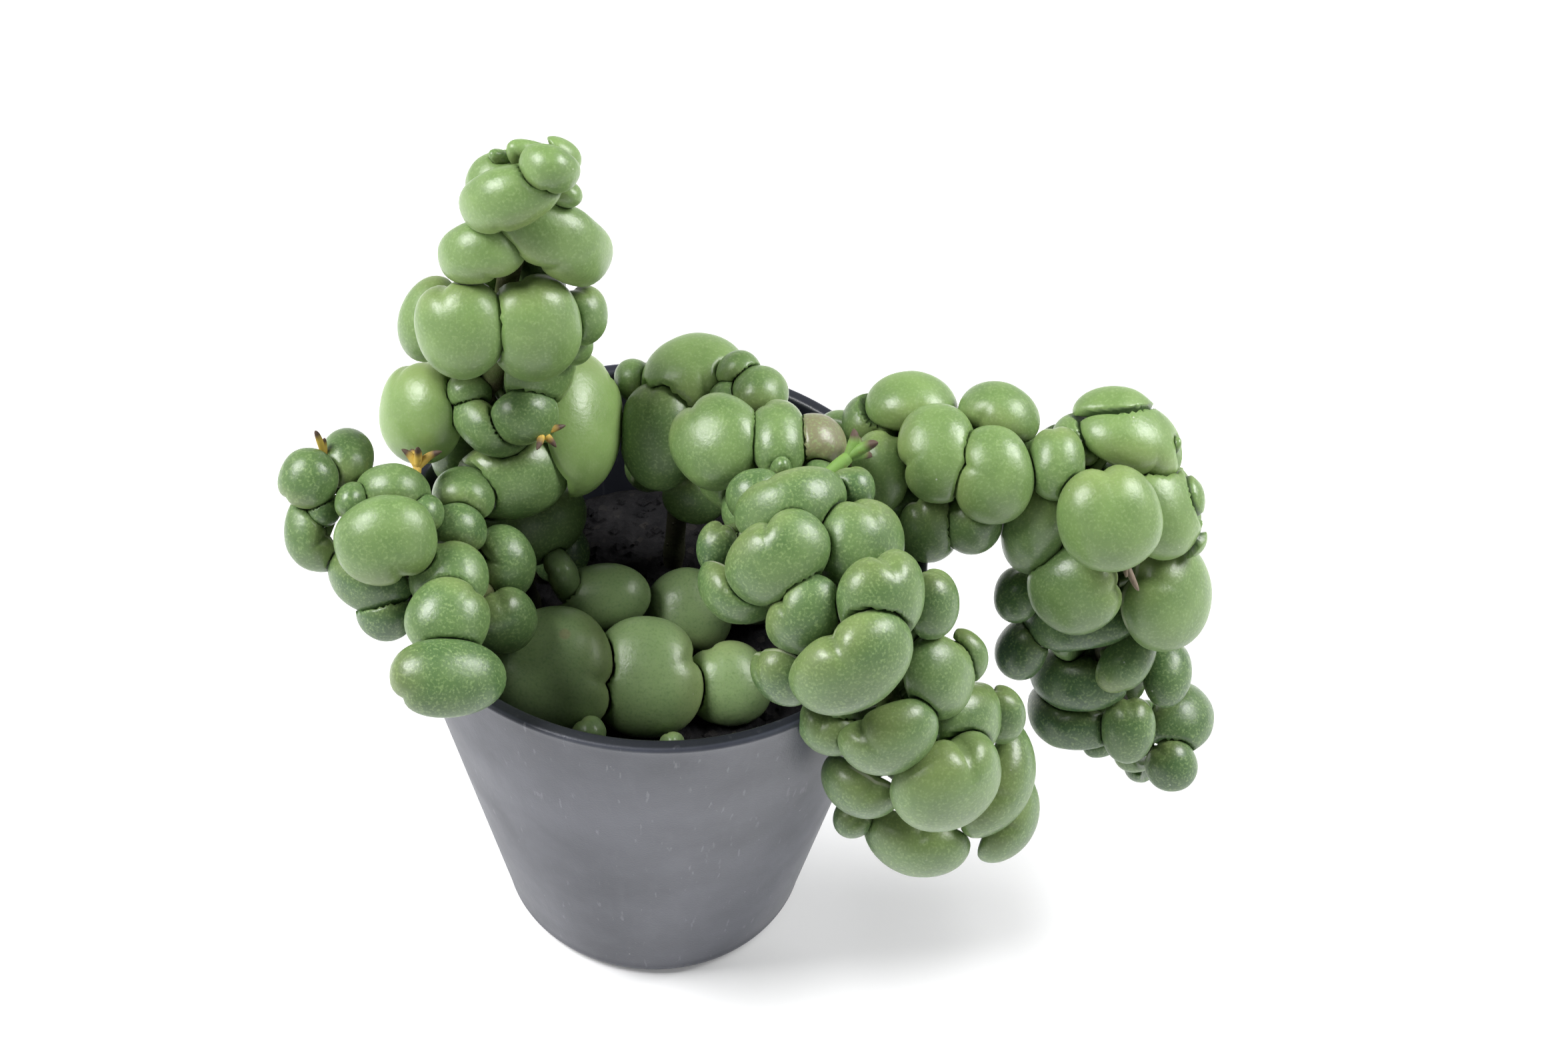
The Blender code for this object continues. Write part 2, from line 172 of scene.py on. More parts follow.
def band_faces(rows, columns):
    """Quads of a grid of rows whose columns close into rings."""
    i, j = np.meshgrid(np.arange(rows - 1), np.arange(columns), indexing="ij")
    here = i * columns
    across = (j + 1) % columns
    quads = np.stack([here + j, here + across, here + columns + across, here + columns + j], -1)
    return quads.reshape(-1, 4).tolist()


def cap_faces(ring_start, pole, columns, flip):
    """Triangles from one ring to a pole point."""
    j = np.arange(columns)
    a, b = ring_start + j, ring_start + (j + 1) % columns
    first, second = (b, a) if flip else (a, b)
    return np.stack([np.full(columns, pole), first, second], -1).tolist()


def lathe(profile, sides, wobble=0.0):
    """Turn an outward-running (radius, height) profile about Z: x = r cos a, y = r sin a.

    The first and last profile points lie on the axis and become poles.  The wobble makes the
    rings slightly oval towards the top, as a soft pot is: r grows by wobble cos(2a + 1) z squared.
    """
    ring = np.asarray(profile, float)[1:-1]
    a = 2 * np.pi * np.arange(sides) / sides
    height = ring[:, 1:2]
    radius = ring[:, 0:1] * (1 + wobble * np.cos(2 * a + 1.0) * (height / POT_HEIGHT) ** 2)
    grid = np.stack([radius * np.cos(a), radius * np.sin(a), height + 0 * a], -1).reshape(-1, 3)
    poles = [[0.0, 0.0, profile[0][1]], [0.0, 0.0, profile[-1][1]]]
    points = np.vstack([grid, poles])
    faces = band_faces(len(ring), sides)
    faces += cap_faces(0, len(grid), sides, True)
    faces += cap_faces(len(grid) - sides, len(grid) + 1, sides, False)
    return points, faces


def noise_at(tree, scale, detail=4.0, roughness=0.55, stretch=None):
    """Noise over Object coordinates, whose scale counts features per metre."""
    coordinates = tree.nodes.new("ShaderNodeTexCoord")
    place = tree.nodes.new("ShaderNodeMapping")
    if stretch is not None:
        place.inputs["Scale"].default_value = stretch
    tree.links.new(coordinates.outputs["Object"], place.inputs["Vector"])
    noise = tree.nodes.new("ShaderNodeTexNoise")
    noise.inputs["Scale"].default_value = scale
    noise.inputs["Detail"].default_value = detail
    noise.inputs["Roughness"].default_value = roughness
    tree.links.new(place.outputs["Vector"], noise.inputs["Vector"])
    return noise.outputs["Fac"]


def cells_at(tree, scale):
    """Cells over Object coordinates: distance from the cell's point, and the cell's own colour."""
    coordinates = tree.nodes.new("ShaderNodeTexCoord")
    cells = tree.nodes.new("ShaderNodeTexVoronoi")
    cells.inputs["Scale"].default_value = scale
    tree.links.new(coordinates.outputs["Object"], cells.inputs["Vector"])
    return cells.outputs["Distance"], cells.outputs["Color"]


def object_axes(tree):
    """The X, Y and Z outputs of Object coordinates, in metres."""
    coordinates = tree.nodes.new("ShaderNodeTexCoord")
    split = tree.nodes.new("ShaderNodeSeparateXYZ")
    tree.links.new(coordinates.outputs["Object"], split.inputs["Vector"])
    return split.outputs


def remap(tree, value, low, high, to_low=0.0, to_high=1.0):
    """Spread a value between two limits over another range, clamped."""
    node = tree.nodes.new("ShaderNodeMapRange")
    node.inputs["From Min"].default_value = low
    node.inputs["From Max"].default_value = high
    node.inputs["To Min"].default_value = to_low
    node.inputs["To Max"].default_value = to_high
    tree.links.new(value, node.inputs["Value"])
    return node.outputs["Result"]


def calculate(tree, operation, first, second):
    """One Math node; either input may be a number or a socket."""
    node = tree.nodes.new("ShaderNodeMath")
    node.operation = operation
    for socket, value in zip(node.inputs, (first, second)):
        if isinstance(value, (int, float)):
            socket.default_value = value
        else:
            tree.links.new(value, socket)
    return node.outputs["Value"]


def blend_colours(tree, factor, first, second):
    """Mix two colours, each a tuple or a socket, by a factor that is a number or a socket."""
    node = tree.nodes.new("ShaderNodeMix")
    node.data_type = "RGBA"
    for socket, value in ((node.inputs[0], factor), (node.inputs[6], first),
                          (node.inputs[7], second)):
        if isinstance(value, tuple):
            socket.default_value = (*value, 1.0)
        elif isinstance(value, (int, float)):
            socket.default_value = value
        else:
            tree.links.new(value, socket)
    return node.outputs[2]


def new_material(name, specular=0.5):
    """An empty Principled material, with its tree and shader."""
    material = bpy.data.materials.new(name)
    material.use_nodes = True
    tree = material.node_tree
    shader = tree.nodes["Principled BSDF"]
    shader.inputs["Specular IOR Level"].default_value = specular
    return material, tree, shader


def add_bump(tree, shader, height, distance):
    """Feed a height in metres times distance to the shader's normal."""
    bump = tree.nodes.new("ShaderNodeBump")
    bump.inputs["Strength"].default_value = 1.0
    bump.inputs["Distance"].default_value = distance
    tree.links.new(height, bump.inputs["Height"])
    tree.links.new(bump.outputs["Normal"], shader.inputs["Normal"])


def pot_plastic():
    """Dark blue-grey plastic with cloudy smudges, upright scratches and pale dust specks.

    The inner wall and most of the lip's top, over 1 mm below the outer surface, get painted shade.
    """
    material, tree, shader = new_material("pot_plastic", 0.6)
    cloud = noise_at(tree, 28.0, 5.0, 0.6)
    streak = noise_at(tree, 60.0, 6.0, 0.7, stretch=(6.0, 6.0, 0.6))
    grain = noise_at(tree, 2600.0, 2.0, 0.5)
    scratch = remap(tree, noise_at(tree, 90.0, 3.0, 0.5, stretch=(9.0, 9.0, 0.25)), 0.66, 0.72)
    base = blend_colours(tree, remap(tree, cloud, 0.35, 0.70), (0.034, 0.038, 0.052),
                         (0.056, 0.061, 0.083))
    base = blend_colours(tree, remap(tree, streak, 0.52, 0.75, 0.0, 0.40), base,
                         (0.075, 0.078, 0.098))
    base = blend_colours(tree, calculate(tree, "MULTIPLY", scratch, 0.35), base,
                         (0.200, 0.205, 0.230))
    distance, own = cells_at(tree, 420.0)
    speck = calculate(tree, "MULTIPLY", remap(tree, distance, 0.10, 0.05),
                      remap(tree, own, 0.80, 0.84))
    base = blend_colours(tree, calculate(tree, "MULTIPLY", speck, 0.7), base, (0.42, 0.42, 0.43))
    place = object_axes(tree)
    squares = [calculate(tree, "POWER", place[axis], 2.0) for axis in ("X", "Y")]
    from_axis = calculate(tree, "SQRT", calculate(tree, "ADD", *squares), 0.0)
    slope = (wall_radius(POT_HEIGHT) - wall_radius(0.0)) / POT_HEIGHT
    wall = calculate(tree, "ADD", calculate(tree, "MULTIPLY", place["Z"], slope),
                     wall_radius(0.0) * MM)
    below_skin = calculate(tree, "SUBTRACT", wall, from_axis)
    # Painted shade: the pot's inside and the lip's top are darkened toward black.
    inside = remap(tree, below_skin, 0.0007, 0.0011, 0.0, 0.72)
    base = blend_colours(tree, inside, base, (0.004, 0.005, 0.008))
    tree.links.new(base, shader.inputs["Base Color"])
    tree.links.new(remap(tree, cloud, 0.3, 0.7, 0.46, 0.32), shader.inputs["Roughness"])
    height = calculate(tree, "ADD", grain, calculate(tree, "MULTIPLY", streak, 1.5))
    add_bump(tree, shader, height, 0.00004)
    return material


below_lip = POT_HEIGHT - LIP_DEPTH
lip_inner = RIM_RADIUS - LIP_WIDTH
outer_wall = np.linspace(BASE_ROUND, POT_HEIGHT - 1.0, 60)
inner_wall = np.linspace(below_lip - 1.5, INNER_FOOT, 50)
pot_profile = np.vstack([
    [[0.0, 0.0]], np.column_stack([np.linspace(3.0, BASE_RADIUS - 1.0, 12), np.zeros(12)]),
    arc((BASE_RADIUS, BASE_ROUND), BASE_ROUND, -90, -5, 10),
    np.column_stack([wall_radius(outer_wall), outer_wall]),
    arc((RIM_RADIUS - LIP_EDGE, POT_HEIGHT - LIP_EDGE), 0.85, 15, 90, 6),
    arc((lip_inner + LIP_EDGE, POT_HEIGHT - LIP_EDGE), LIP_EDGE, 90, 180, 6),
    [[lip_inner, below_lip + 2.0], [lip_inner + 0.3, below_lip + 0.8]],
    np.column_stack([wall_radius(inner_wall) - WALL, inner_wall]),
    [[wall_radius(INNER_FOOT) - WALL - 3.0, FLOOR]],
    np.column_stack([np.linspace(BASE_RADIUS - 4.0, 2.0, 10), np.full(10, FLOOR)]),
    [[0.0, FLOOR]],
])
plastic = pot_plastic()
pot = mesh_piece("nursery_pot", *lathe(pot_profile, POT_SIDES, wobble=OVALITY), plastic)
for k in range(4):
    corner = math.pi / 4 + k * math.pi / 2
    bpy.ops.mesh.primitive_cylinder_add(vertices=40, radius=DRAIN_RADIUS * MM, depth=0.02)
    punch = bpy.context.active_object
    punch.location = (DRAIN_RING * MM * math.cos(corner), DRAIN_RING * MM * math.sin(corner), 0)
    hole = pot.modifiers.new(f"drain_{k + 1}", "BOOLEAN")
    hole.operation = "DIFFERENCE"
    hole.solver = "EXACT"
    hole.object = punch
    bpy.context.view_layer.update()
    evaluated = pot.evaluated_get(bpy.context.evaluated_depsgraph_get())
    pierced = bpy.data.meshes.new_from_object(evaluated)
    pot.modifiers.clear()
    pot.data = pierced
    bpy.data.objects.remove(punch, do_unlink=True)
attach(pot, "root")
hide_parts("pot")


# ==================================================================== soil
# Dark potting mix of peat and fine bark: a ground that is rough on top and fills the pot down
# to its floor, with loose crumbs of bark scattered over it.

soil_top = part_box("soil")[1][2] / MM
SOIL_RADIUS = wall_radius(soil_top) - WALL - 0.6
SOIL_RINGS = 46
SOIL_SIDES = 120
SURFACE = soil_top - 0.8     # mean height of the ground
CRUMBS = 420


def ripple(points, size, seed):
    """Smooth bumpiness between -1 and 1: four sine waves in each of three shrinking sizes."""
    turn = np.random.default_rng(seed)
    total = np.zeros(points.shape[:-1])
    weight = 1.0
    for _ in range(3):
        ways = turn.normal(size=(4, 3))
        ways /= np.linalg.norm(ways, axis=1)[:, None]
        phases = turn.uniform(0, 2 * np.pi, 4)
        total += weight * np.sin(points @ ways.T * (2 * np.pi / size) + phases).mean(axis=-1)
        size /= 2.1
        weight /= 2.0
    return total


def soil_mix():
    """Near-black peat, partly painted shade, with greyer clumps and a few brown bark chips, rough
    all over.
    """
    material, tree, shader = new_material("soil", 0.25)
    distance, own = cells_at(tree, 700.0)
    clump = noise_at(tree, 220.0, 6.0, 0.65)
    # Painted shade: the peat colours are set darker than peat for the shade in the pot's hollow.
    base = blend_colours(tree, remap(tree, clump, 0.35, 0.70), (0.004, 0.004, 0.005),
                         (0.014, 0.013, 0.014))
    base = blend_colours(tree, remap(tree, own, 0.80, 0.95, 0.0, 0.6), base, (0.036, 0.032, 0.028))
    tree.links.new(base, shader.inputs["Base Color"])
    tree.links.new(remap(tree, clump, 0.3, 0.7, 0.98, 0.80), shader.inputs["Roughness"])
    height = calculate(tree, "ADD", clump, calculate(tree, "MULTIPLY", distance, 0.6))
    add_bump(tree, shader, height, 0.0009)
    return material


mix = soil_mix()
rings = np.linspace(1.0, SOIL_RADIUS, SOIL_RINGS)
sweep = 2 * np.pi * np.arange(SOIL_SIDES) / SOIL_SIDES
ground = np.stack([rings[:, None] * np.cos(sweep), rings[:, None] * np.sin(sweep),
                   np.zeros((SOIL_RINGS, SOIL_SIDES))], -1)
sunk_edge = 1.2 * (rings / SOIL_RADIUS)[:, None] ** 6
ground[..., 2] = SURFACE + 0.8 * ripple(ground, 9.0, 4) - sunk_edge
foot_radius = wall_radius(INNER_FOOT) - WALL - 4.0
foot = FLOOR + 0.3
skirt = np.stack([foot_radius * np.cos(sweep), foot_radius * np.sin(sweep),
                  np.full(SOIL_SIDES, foot)], -1)
soil_points = np.vstack([ground.reshape(-1, 3), skirt, [[0, 0, SURFACE], [0, 0, foot]]])
soil_faces = [face[::-1] for face in band_faces(SOIL_RINGS + 1, SOIL_SIDES)]
soil_faces += cap_faces(0, len(soil_points) - 2, SOIL_SIDES, False)
soil_faces += cap_faces(SOIL_RINGS * SOIL_SIDES, len(soil_points) - 1, SOIL_SIDES, True)
soil = mesh_piece("potting_mix", soil_points, soil_faces, mix)
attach(soil, "root")
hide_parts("soil")

# Loose crumbs: small uneven eight-sided lumps scattered over the surface.
scatter = np.random.default_rng(11)
lump = np.array([[1, 0, 0], [-1, 0, 0], [0, 1, 0], [0, -1, 0], [0, 0, 1], [0, 0, -1]], float)
lump_faces = np.array([[0, 2, 4], [2, 1, 4], [1, 3, 4], [3, 0, 4], [2, 0, 5], [1, 2, 5], [3, 1, 5],
                       [0, 3, 5]])
reach = (SOIL_RADIUS - 2.5) * np.sqrt(scatter.uniform(0, 1, CRUMBS))
heading = scatter.uniform(0, 2 * np.pi, CRUMBS)
crumb_size = scatter.uniform(0.5, 1.7, (CRUMBS, 1, 1)) * scatter.uniform(0.5, 1.2, (CRUMBS, 6, 1))
seats = np.stack([reach * np.cos(heading), reach * np.sin(heading),
                  soil_top - 0.6 - 1.0 * (reach / SOIL_RADIUS) ** 6], -1)
crumb_points = (seats[:, None, :] + lump[None] * crumb_size * (1.0, 1.0, 0.6)).reshape(-1, 3)
crumb_faces = (lump_faces[None] + 6 * np.arange(CRUMBS)[:, None, None]).reshape(-1, 3).tolist()
crumbs = mesh_piece("bark_crumbs", crumb_points, crumb_faces, mix, smooth=False)
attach(crumbs, "root")


# ==================================================================== stems
# Five soft woody stems rise from the soil; each has slight swellings where leaves join it and
# thins toward its tip.

STEM_RADIUS = 2.2
TAPER = 30.0                 # length over which a stem thins toward its tip
NODE_STEP = 13.0             # distance between the swellings where leaves join
LIGHT = np.array([0.0, -0.70, 0.714])     # the side that the leaves face

STEMS = {
    "A": [(-24, 17, 72), (-29, 16, 88), (-31, 11, 112), (-32, 11, 129), (-30, 11, 144),
          (-28, 12, 158), (-25, 13, 170), (-22, 13, 180), (-21, 12, 184)],
    "B": [(-26, 9, 72), (-28, 1, 92), (-32, -6, 102), (-40, -12, 111), (-48, -14, 118),
          (-55, -11, 122), (-63, -6, 123)],
    "K": [(-24, -4, 72), (-28, -8, 92), (-34, -19, 106), (-38, -29, 109), (-40, -36, 108)],
    "C": [(3, 22, 72), (4, 24, 92), (5, 19, 112), (13, 8, 123), (20, -10, 128),
          (27, -29, 129), (34, -40, 121), (43, -42, 103), (51, -41, 84), (55, -41, 68)],
    "D": [(14, 18, 72), (25, 18, 100), (38, 11, 113), (50, 6, 117), (63, 4, 119),
          (75, 2, 118), (84, -1, 113), (88, -4, 99), (89, -6, 82), (93, -8, 67),
          (100, -9, 54), (106, -9, 45)],
}


def smooth_curve(points, per_span=24):
    """Smooth curve through the points: positions along it, unit tangents and arc lengths.

    Between two points it is the cubic whose slope at each is half the step between the points
    on either side.
    """
    knots = np.asarray(points, float)
    knots = np.vstack([2 * knots[0] - knots[1], knots, 2 * knots[-1] - knots[-2]])
    t = np.linspace(0.0, 1.0, per_span, endpoint=False)[:, None]
    spans = []
    for i in range(1, len(knots) - 2):
        a, b, c, d = knots[i - 1:i + 3]
        spans.append(0.5 * (2 * b + (c - a) * t + (2 * a - 5 * b + 4 * c - d) * t ** 2
                            + (3 * b - a - 3 * c + d) * t ** 3))
    line = np.vstack(spans + [knots[-2:-1]])
    tangent = np.gradient(line, axis=0)
    tangent /= np.linalg.norm(tangent, axis=1)[:, None]
    along = np.concatenate([[0.0], np.cumsum(np.linalg.norm(np.diff(line, axis=0), axis=1))])
    return line, tangent, along


def lit_frame(tangent):
    """Unit vectors across a path at each point: toward the light, and sideways from it."""
    lit = LIGHT - (tangent @ LIGHT)[..., None] * tangent
    lit /= np.linalg.norm(lit, axis=-1)[..., None]
    return lit, np.cross(tangent, lit)


def tube(line, radii, sides):
    """Carry a circle of changing radius along a line; both ends close in a point."""
    tangent = np.gradient(line, axis=0)
    tangent /= np.linalg.norm(tangent, axis=1)[:, None]
    lit, side = lit_frame(tangent)
    a = 2 * np.pi * np.arange(sides) / sides
    spoke = np.cos(a)[None, :, None] * lit[:, None] + np.sin(a)[None, :, None] * side[:, None]
    grid = line[:, None] + np.asarray(radii)[:, None, None] * spoke
    nose = line[-1] + tangent[-1] * radii[-1] * 0.5
    points = np.vstack([grid.reshape(-1, 3), line[:1], nose[None]])
    count = len(line) * sides
    faces = band_faces(len(line), sides)
    faces += cap_faces(0, count, sides, True) + cap_faces(count - sides, count + 1, sides, False)
    return points, faces


def stem_bark():
    """Olive-brown bark, greener in patches, fine lengthwise cracks, pale corky dots, darker low
    down.
    """
    material, tree, shader = new_material("stem_bark", 0.35)
    patch = noise_at(tree, 120.0, 5.0, 0.6)
    fibre = noise_at(tree, 900.0, 4.0, 0.6)
    base = blend_colours(tree, remap(tree, patch, 0.38, 0.62), (0.085, 0.075, 0.036),
                         (0.125, 0.165, 0.055))
    base = blend_colours(tree, remap(tree, fibre, 0.50, 0.75, 0.0, 0.5), base, (0.23, 0.21, 0.13))
    distance, own = cells_at(tree, 500.0)
    cork = calculate(tree, "MULTIPLY", remap(tree, distance, 0.22, 0.12),
                     remap(tree, own, 0.70, 0.74))
    base = blend_colours(tree, calculate(tree, "MULTIPLY", cork, 0.6), base, (0.34, 0.29, 0.20))
    place = object_axes(tree)
    # The bark darkens toward near black from 108 mm down to 88 mm above the table.
    darker_below = remap(tree, place["Z"], 0.108, 0.088, 0.0, 0.85)
    base = blend_colours(tree, darker_below, base, (0.020, 0.018, 0.012))
    tree.links.new(base, shader.inputs["Base Color"])
    tree.links.new(remap(tree, fibre, 0.3, 0.7, 0.75, 0.55), shader.inputs["Roughness"])
    height = calculate(tree, "ADD", fibre, calculate(tree, "MULTIPLY", cork, 0.8))
    add_bump(tree, shader, height, 0.0003)
    return material


bark = stem_bark()
curves = {name: smooth_curve(points) for name, points in STEMS.items()}
for name, (line, tangent, along) in curves.items():
    places = np.arange(-3.0, along[-1] + 0.1, 1.0)
    centre = np.column_stack([np.interp(places, along, line[:, i]) for i in range(3)])
    centre[:3] += tangent[0] * places[:3, None]
    from_node = (places + 4.0) % NODE_STEP - NODE_STEP / 2
    swelling = 0.14 * np.exp(-(from_node / 2.0) ** 2)
    thinning = np.clip((along[-1] + 6.0 - places) / TAPER, 0.45, 1.0)
    radii = STEM_RADIUS * thinning * (0.93 + swelling)
    stem = mesh_piece(f"stem_{name}_bark", *tube(centre, radii, 20), bark)
    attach(stem, "root")
    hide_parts(f"stem_{name}")


# ==================================================================== leaves
# Thick, water-filled leaves sit in pairs along the stems, each on a very short leaf stalk, and
# crowd until they press flat against each other.  Waxy, with fine pale dots, dry edges and scars.

FACE_SWELL = 0.25            # dome height over the smaller leaf size
BACK_SWELL = 0.19
CONTACT = 0.03               # relative clearance between pressed leaves
CLEARANCE = 0.15             # millimetres kept to stems, pot and soil
ROOM_SCALE = 4.0             # millimetres that count as much as one unit of leaf depth
GROWTH_STEPS = 20
CREASE_SHADE_DEPTH = 0.12          # share of a leaf held back at which its painted shade in creases is full
CONE_START = {"C": 85.0}     # where leaves begin to overlap like scales
CONE_TILT = 0.8              # how far those leaves face the stem's tip, reached over CONE_EASE
CONE_EASE = 20.0
CONE_RANK = 1.1              # how much a leaf nearer the tip lies over the one before it
SHARING = 1.6                # how strongly the leaf nearer the light covers its neighbour
OUTLINE_POWER = 2.25         # 2 would make the leaf's outline an ellipse, more is squarer
DOME_POWER = 2.45            # the same for its section
POINT = 0.05                 # how far the tip is drawn out
BEND = 1.3                   # millimetres that the smaller leaf size bends back at its edge
LEAF_AROUND = 56
LEAF_OVER = 30

# Each leaf: (along the stem, degrees around it from the lit side, distance of its centre from the
# stem, length, width, degrees its tip is turned from the stem's direction, tone from -1 deep
# green to 1 pale young green, or 2 for an olive-brown blush, depth of the notch at its base).
# The tone also carries painted light and shade: it is raised on the upper leaves of A and D and
# lowered on B, K, the scaled end of C and the hanging end of D.
# The first table is the leaves that the frame holds as solids, in its order; the second is the
# rest.
LEAVES = {
    "A": [(119, 25, 5, 8, 11, -10, 0.3, 0.35), (110, -20, 10, 11, 20, 50, 0.4, 0.1),
          (95, -35, 10, 11, 17, 40, 0.4, 0.1), (100, 75, 9, 13, 27, -30, 0.4, 0.25),
          (83, 40, 11, 20, 17, -170, 0.4, 0.1), (82, -30, 13, 18, 17, -150, 0.4, 0.2),
          (75, -85, 14, 16, 12, -165, 0.3, 0.1), (55, -85, 14, 19, 19, -165, 1.0, 0.1),
          (48, 95, 16, 28, 21, 125, 1.0, 0.1), (45, 15, 10, 16, 22, -180, -0.1, 0.1),
          (25, 35, 8, 16, 23, 170, -0.2, 0.1), (70, 170, 9, 17, 19, 180, 0.2, 0.15)],
    "B": [(76, -10, 7, 11, 11, -85, -0.2, 0.1), (61, -15, 11, 16, 19, -40, 0.1, 0.25),
          (59, -85, 12, 12, 17, 130, -0.5, 0.1), (64, 60, 7, 9, 14, -55, -0.1, 0.1),
          (72, -85, 12, 9, 17, 25, -0.3, 0.4), (38, -5, 7, 11, 15, -155, -0.3, 0.5)],
    "K": [(47, 40, 8, 13, 15, 20, -0.2, 0.1), (36, -60, 7, 14, 13, 160, -0.3, 0.1),
          (67, -25, 9, 21, 14, 115, -0.5, 0.05)],
    "C": [(48, -85, 10, 19, 21, 140, 0.4, 0.4), (46, 0, 9, 21, 16, -105, -0.3, 0.1),
          (70, 30, 9, 18, 18, 0, 0.2, 0.3), (94, -5, 9, 12, 21, -5, -0.2, 0.1),
          (101, 35, 11, 15, 20, 5, -0.2, 0.3), (103, -85, 9, 18, 18, -15, -0.2, 0.15),
          (111, -45, 11, 17, 17, -10, -0.2, 0.35), (116, 15, 12, 17, 24, 10, -0.2, 0.3),
          (133, -70, 11, 15, 21, -70, -0.1, 0.3), (149, -5, 12, 21, 22, -10, 0.1, 0.35),
          (166, -80, 14, 14, 24, 30, -0.2, 0.1), (174, 60, 8, 15, 21, -10, -0.2, 0.1)],
    "D": [(61, -90, 12, 14, 18, 110, 0.5, 0.1), (58, 20, 7, 16, 11, -85, 0.2, 0.1),
          (68, -15, 9, 15, 19, 0, 0.4, 0.3), (78, 15, 9, 15, 19, 5, 0.3, 0.4),
          (95, -85, 17, 12, 20, 100, 0.5, 0.1), (98, 5, 13, 20, 20, -30, 0.4, 0.15),
          (104, -75, 12, 19, 19, -30, 0.4, 0.1), (90, 95, 12, 23, 12, -75, 0.0, 0.1),
          (113, 50, 11, 18, 18, -55, 0.0, 0.1), (120, -75, 12, 21, 22, 15, 0.2, 0.2),
          (142, 100, 9, 12, 24, 5, -0.8, 0.1), (167, -85, 10, 13, 19, -25, -0.6, 0.35)],
}

SMALL_LEAVES = {
    "A": [(115, -85, 5, 4, 10, 75, 0.5, 0.45), (115, 130, 4, 6, 9, 60, 0.5, 0.2),
          (110, 85, 6, 6, 5, -120, 0.3, 0.1), (111, -85, 8, 3, 3, 95, 0.0, 0.1),
          (106, -80, 8, 9, 14, 85, 0.4, 0.1), (82, 90, 15, 11, 10, 165, 0.0, 0.1),
          (83, 155, 7, 8, 12, -10, 0.2, 0.1), (67, 95, 9, 14, 17, 30, 0.1, 0.1),
          (74, 95, 14, 8, 8, 160, 0.1, 0.1), (61, 45, 11, 11, 13, 0, -0.3, 0.2),
          (57, 0, 9, 9, 16, 150, -0.2, 0.35), (61, -55, 6, 7, 9, -155, 0.0, 0.1),
          (6, 55, 8, 10, 13, 170, -0.7, 0.1)],
    "B": [(74, 90, 6, 13, 10, -55, -0.2, 0.1), (68, -10, 6, 7, 6, -70, -0.2, 0.1),
          (72, -55, 6, 7, 6, 110, -0.4, 0.1), (47, 95, 11, 11, 12, -125, -0.2, 0.35),
          (50, 50, 6, 9, 12, -90, -0.4, 0.1), (55, -85, 16, 11, 11, 135, -0.7, 0.1),
          (58, 45, 7, 7, 8, -75, -0.4, 0.1), (56, -35, 6, 9, 9, 155, -0.5, 0.1)],
    "K": [(55, 0, 8, 15, 15, -5, -0.2, 0.1)],
    "C": [(57, -65, 6, 8, 8, 145, -0.1, 0.1), (60, -85, 10, 11, 11, 155, 0.1, 0.1),
          (56, -80, 12, 8, 9, 145, 0.1, 0.1), (75, -50, 8, 16, 11, -15, 0.1, 0.1),
          (77, -90, 12, 11, 13, 175, 2.0, 0.1), (23, 35, 7, 11, 14, 170, -0.2, 0.1),
          (85, 40, 7, 9, 11, 160, -0.3, 0.1), (83, -30, 6, 4, 4, 160, -0.2, 0.1),
          (41, -85, 15, 9, 8, 135, -0.1, 0.1), (109, 50, 9, 12, 17, 35, -0.4, 0.3),
          (100, 90, 16, 10, 16, -70, -0.3, 0.1), (89, 90, 15, 11, 8, -70, -0.7, 0.1),
          (119, -85, 16, 13, 11, -25, -0.4, 0.1), (117, 90, 15, 14, 11, -5, -0.5, 0.1),
          (135, -85, 17, 11, 7, -25, -0.2, 0.1), (134, 25, 10, 15, 19, 5, -0.2, 0.3),
          (148, -75, 12, 14, 21, -50, -0.1, 0.3), (153, -85, 18, 12, 8, -25, -0.2, 0.1),
          (134, 95, 13, 11, 13, -30, -0.5, 0.1), (153, 90, 14, 13, 16, -30, -0.4, 0.1),
          (178, -80, 14, 13, 20, 25, -0.3, 0.1), (168, 95, 17, 8, 8, -25, -0.5, 0.1),
          (92, -85, 13, 8, 9, 10, -0.5, 0.1)],
    "D": [(53, -90, 8, 11, 11, 115, -0.1, 0.1), (78, -85, 11, 12, 16, 75, 0.2, 0.1),
          (66, 90, 13, 16, 12, -100, -0.3, 0.1), (74, 90, 12, 13, 12, -95, -0.3, 0.1),
          (88, -20, 8, 14, 11, -75, 0.2, 0.1), (91, -85, 9, 11, 10, 105, 0.2, 0.1),
          (99, -80, 19, 5, 3, -60, 0.3, 0.1), (97, -80, 15, 15, 22, 110, 0.5, 0.1),
          (104, -80, 17, 11, 8, -35, 0.3, 0.1), (109, -75, 16, 8, 9, -10, 0.3, 0.1),
          (124, 100, 18, 11, 10, 25, -0.6, 0.1), (128, 85, 9, 11, 29, 25, -0.7, 0.1),
          (134, 100, 17, 13, 11, -20, -0.8, 0.1), (150, 95, 13, 10, 22, -10, -0.8, 0.1),
          (134, -25, 8, 16, 10, 130, -0.4, 0.1), (148, -80, 12, 15, 11, -65, -0.6, 0.1),
          (152, 15, 8, 14, 11, -25, -0.5, 0.1), (169, -5, 7, 11, 11, -15, -0.6, 0.1),
          (158, 95, 9, 5, 9, -15, -0.7, 0.1), (176, 150, 7, 7, 11, 50, -0.7, 0.1)],
}

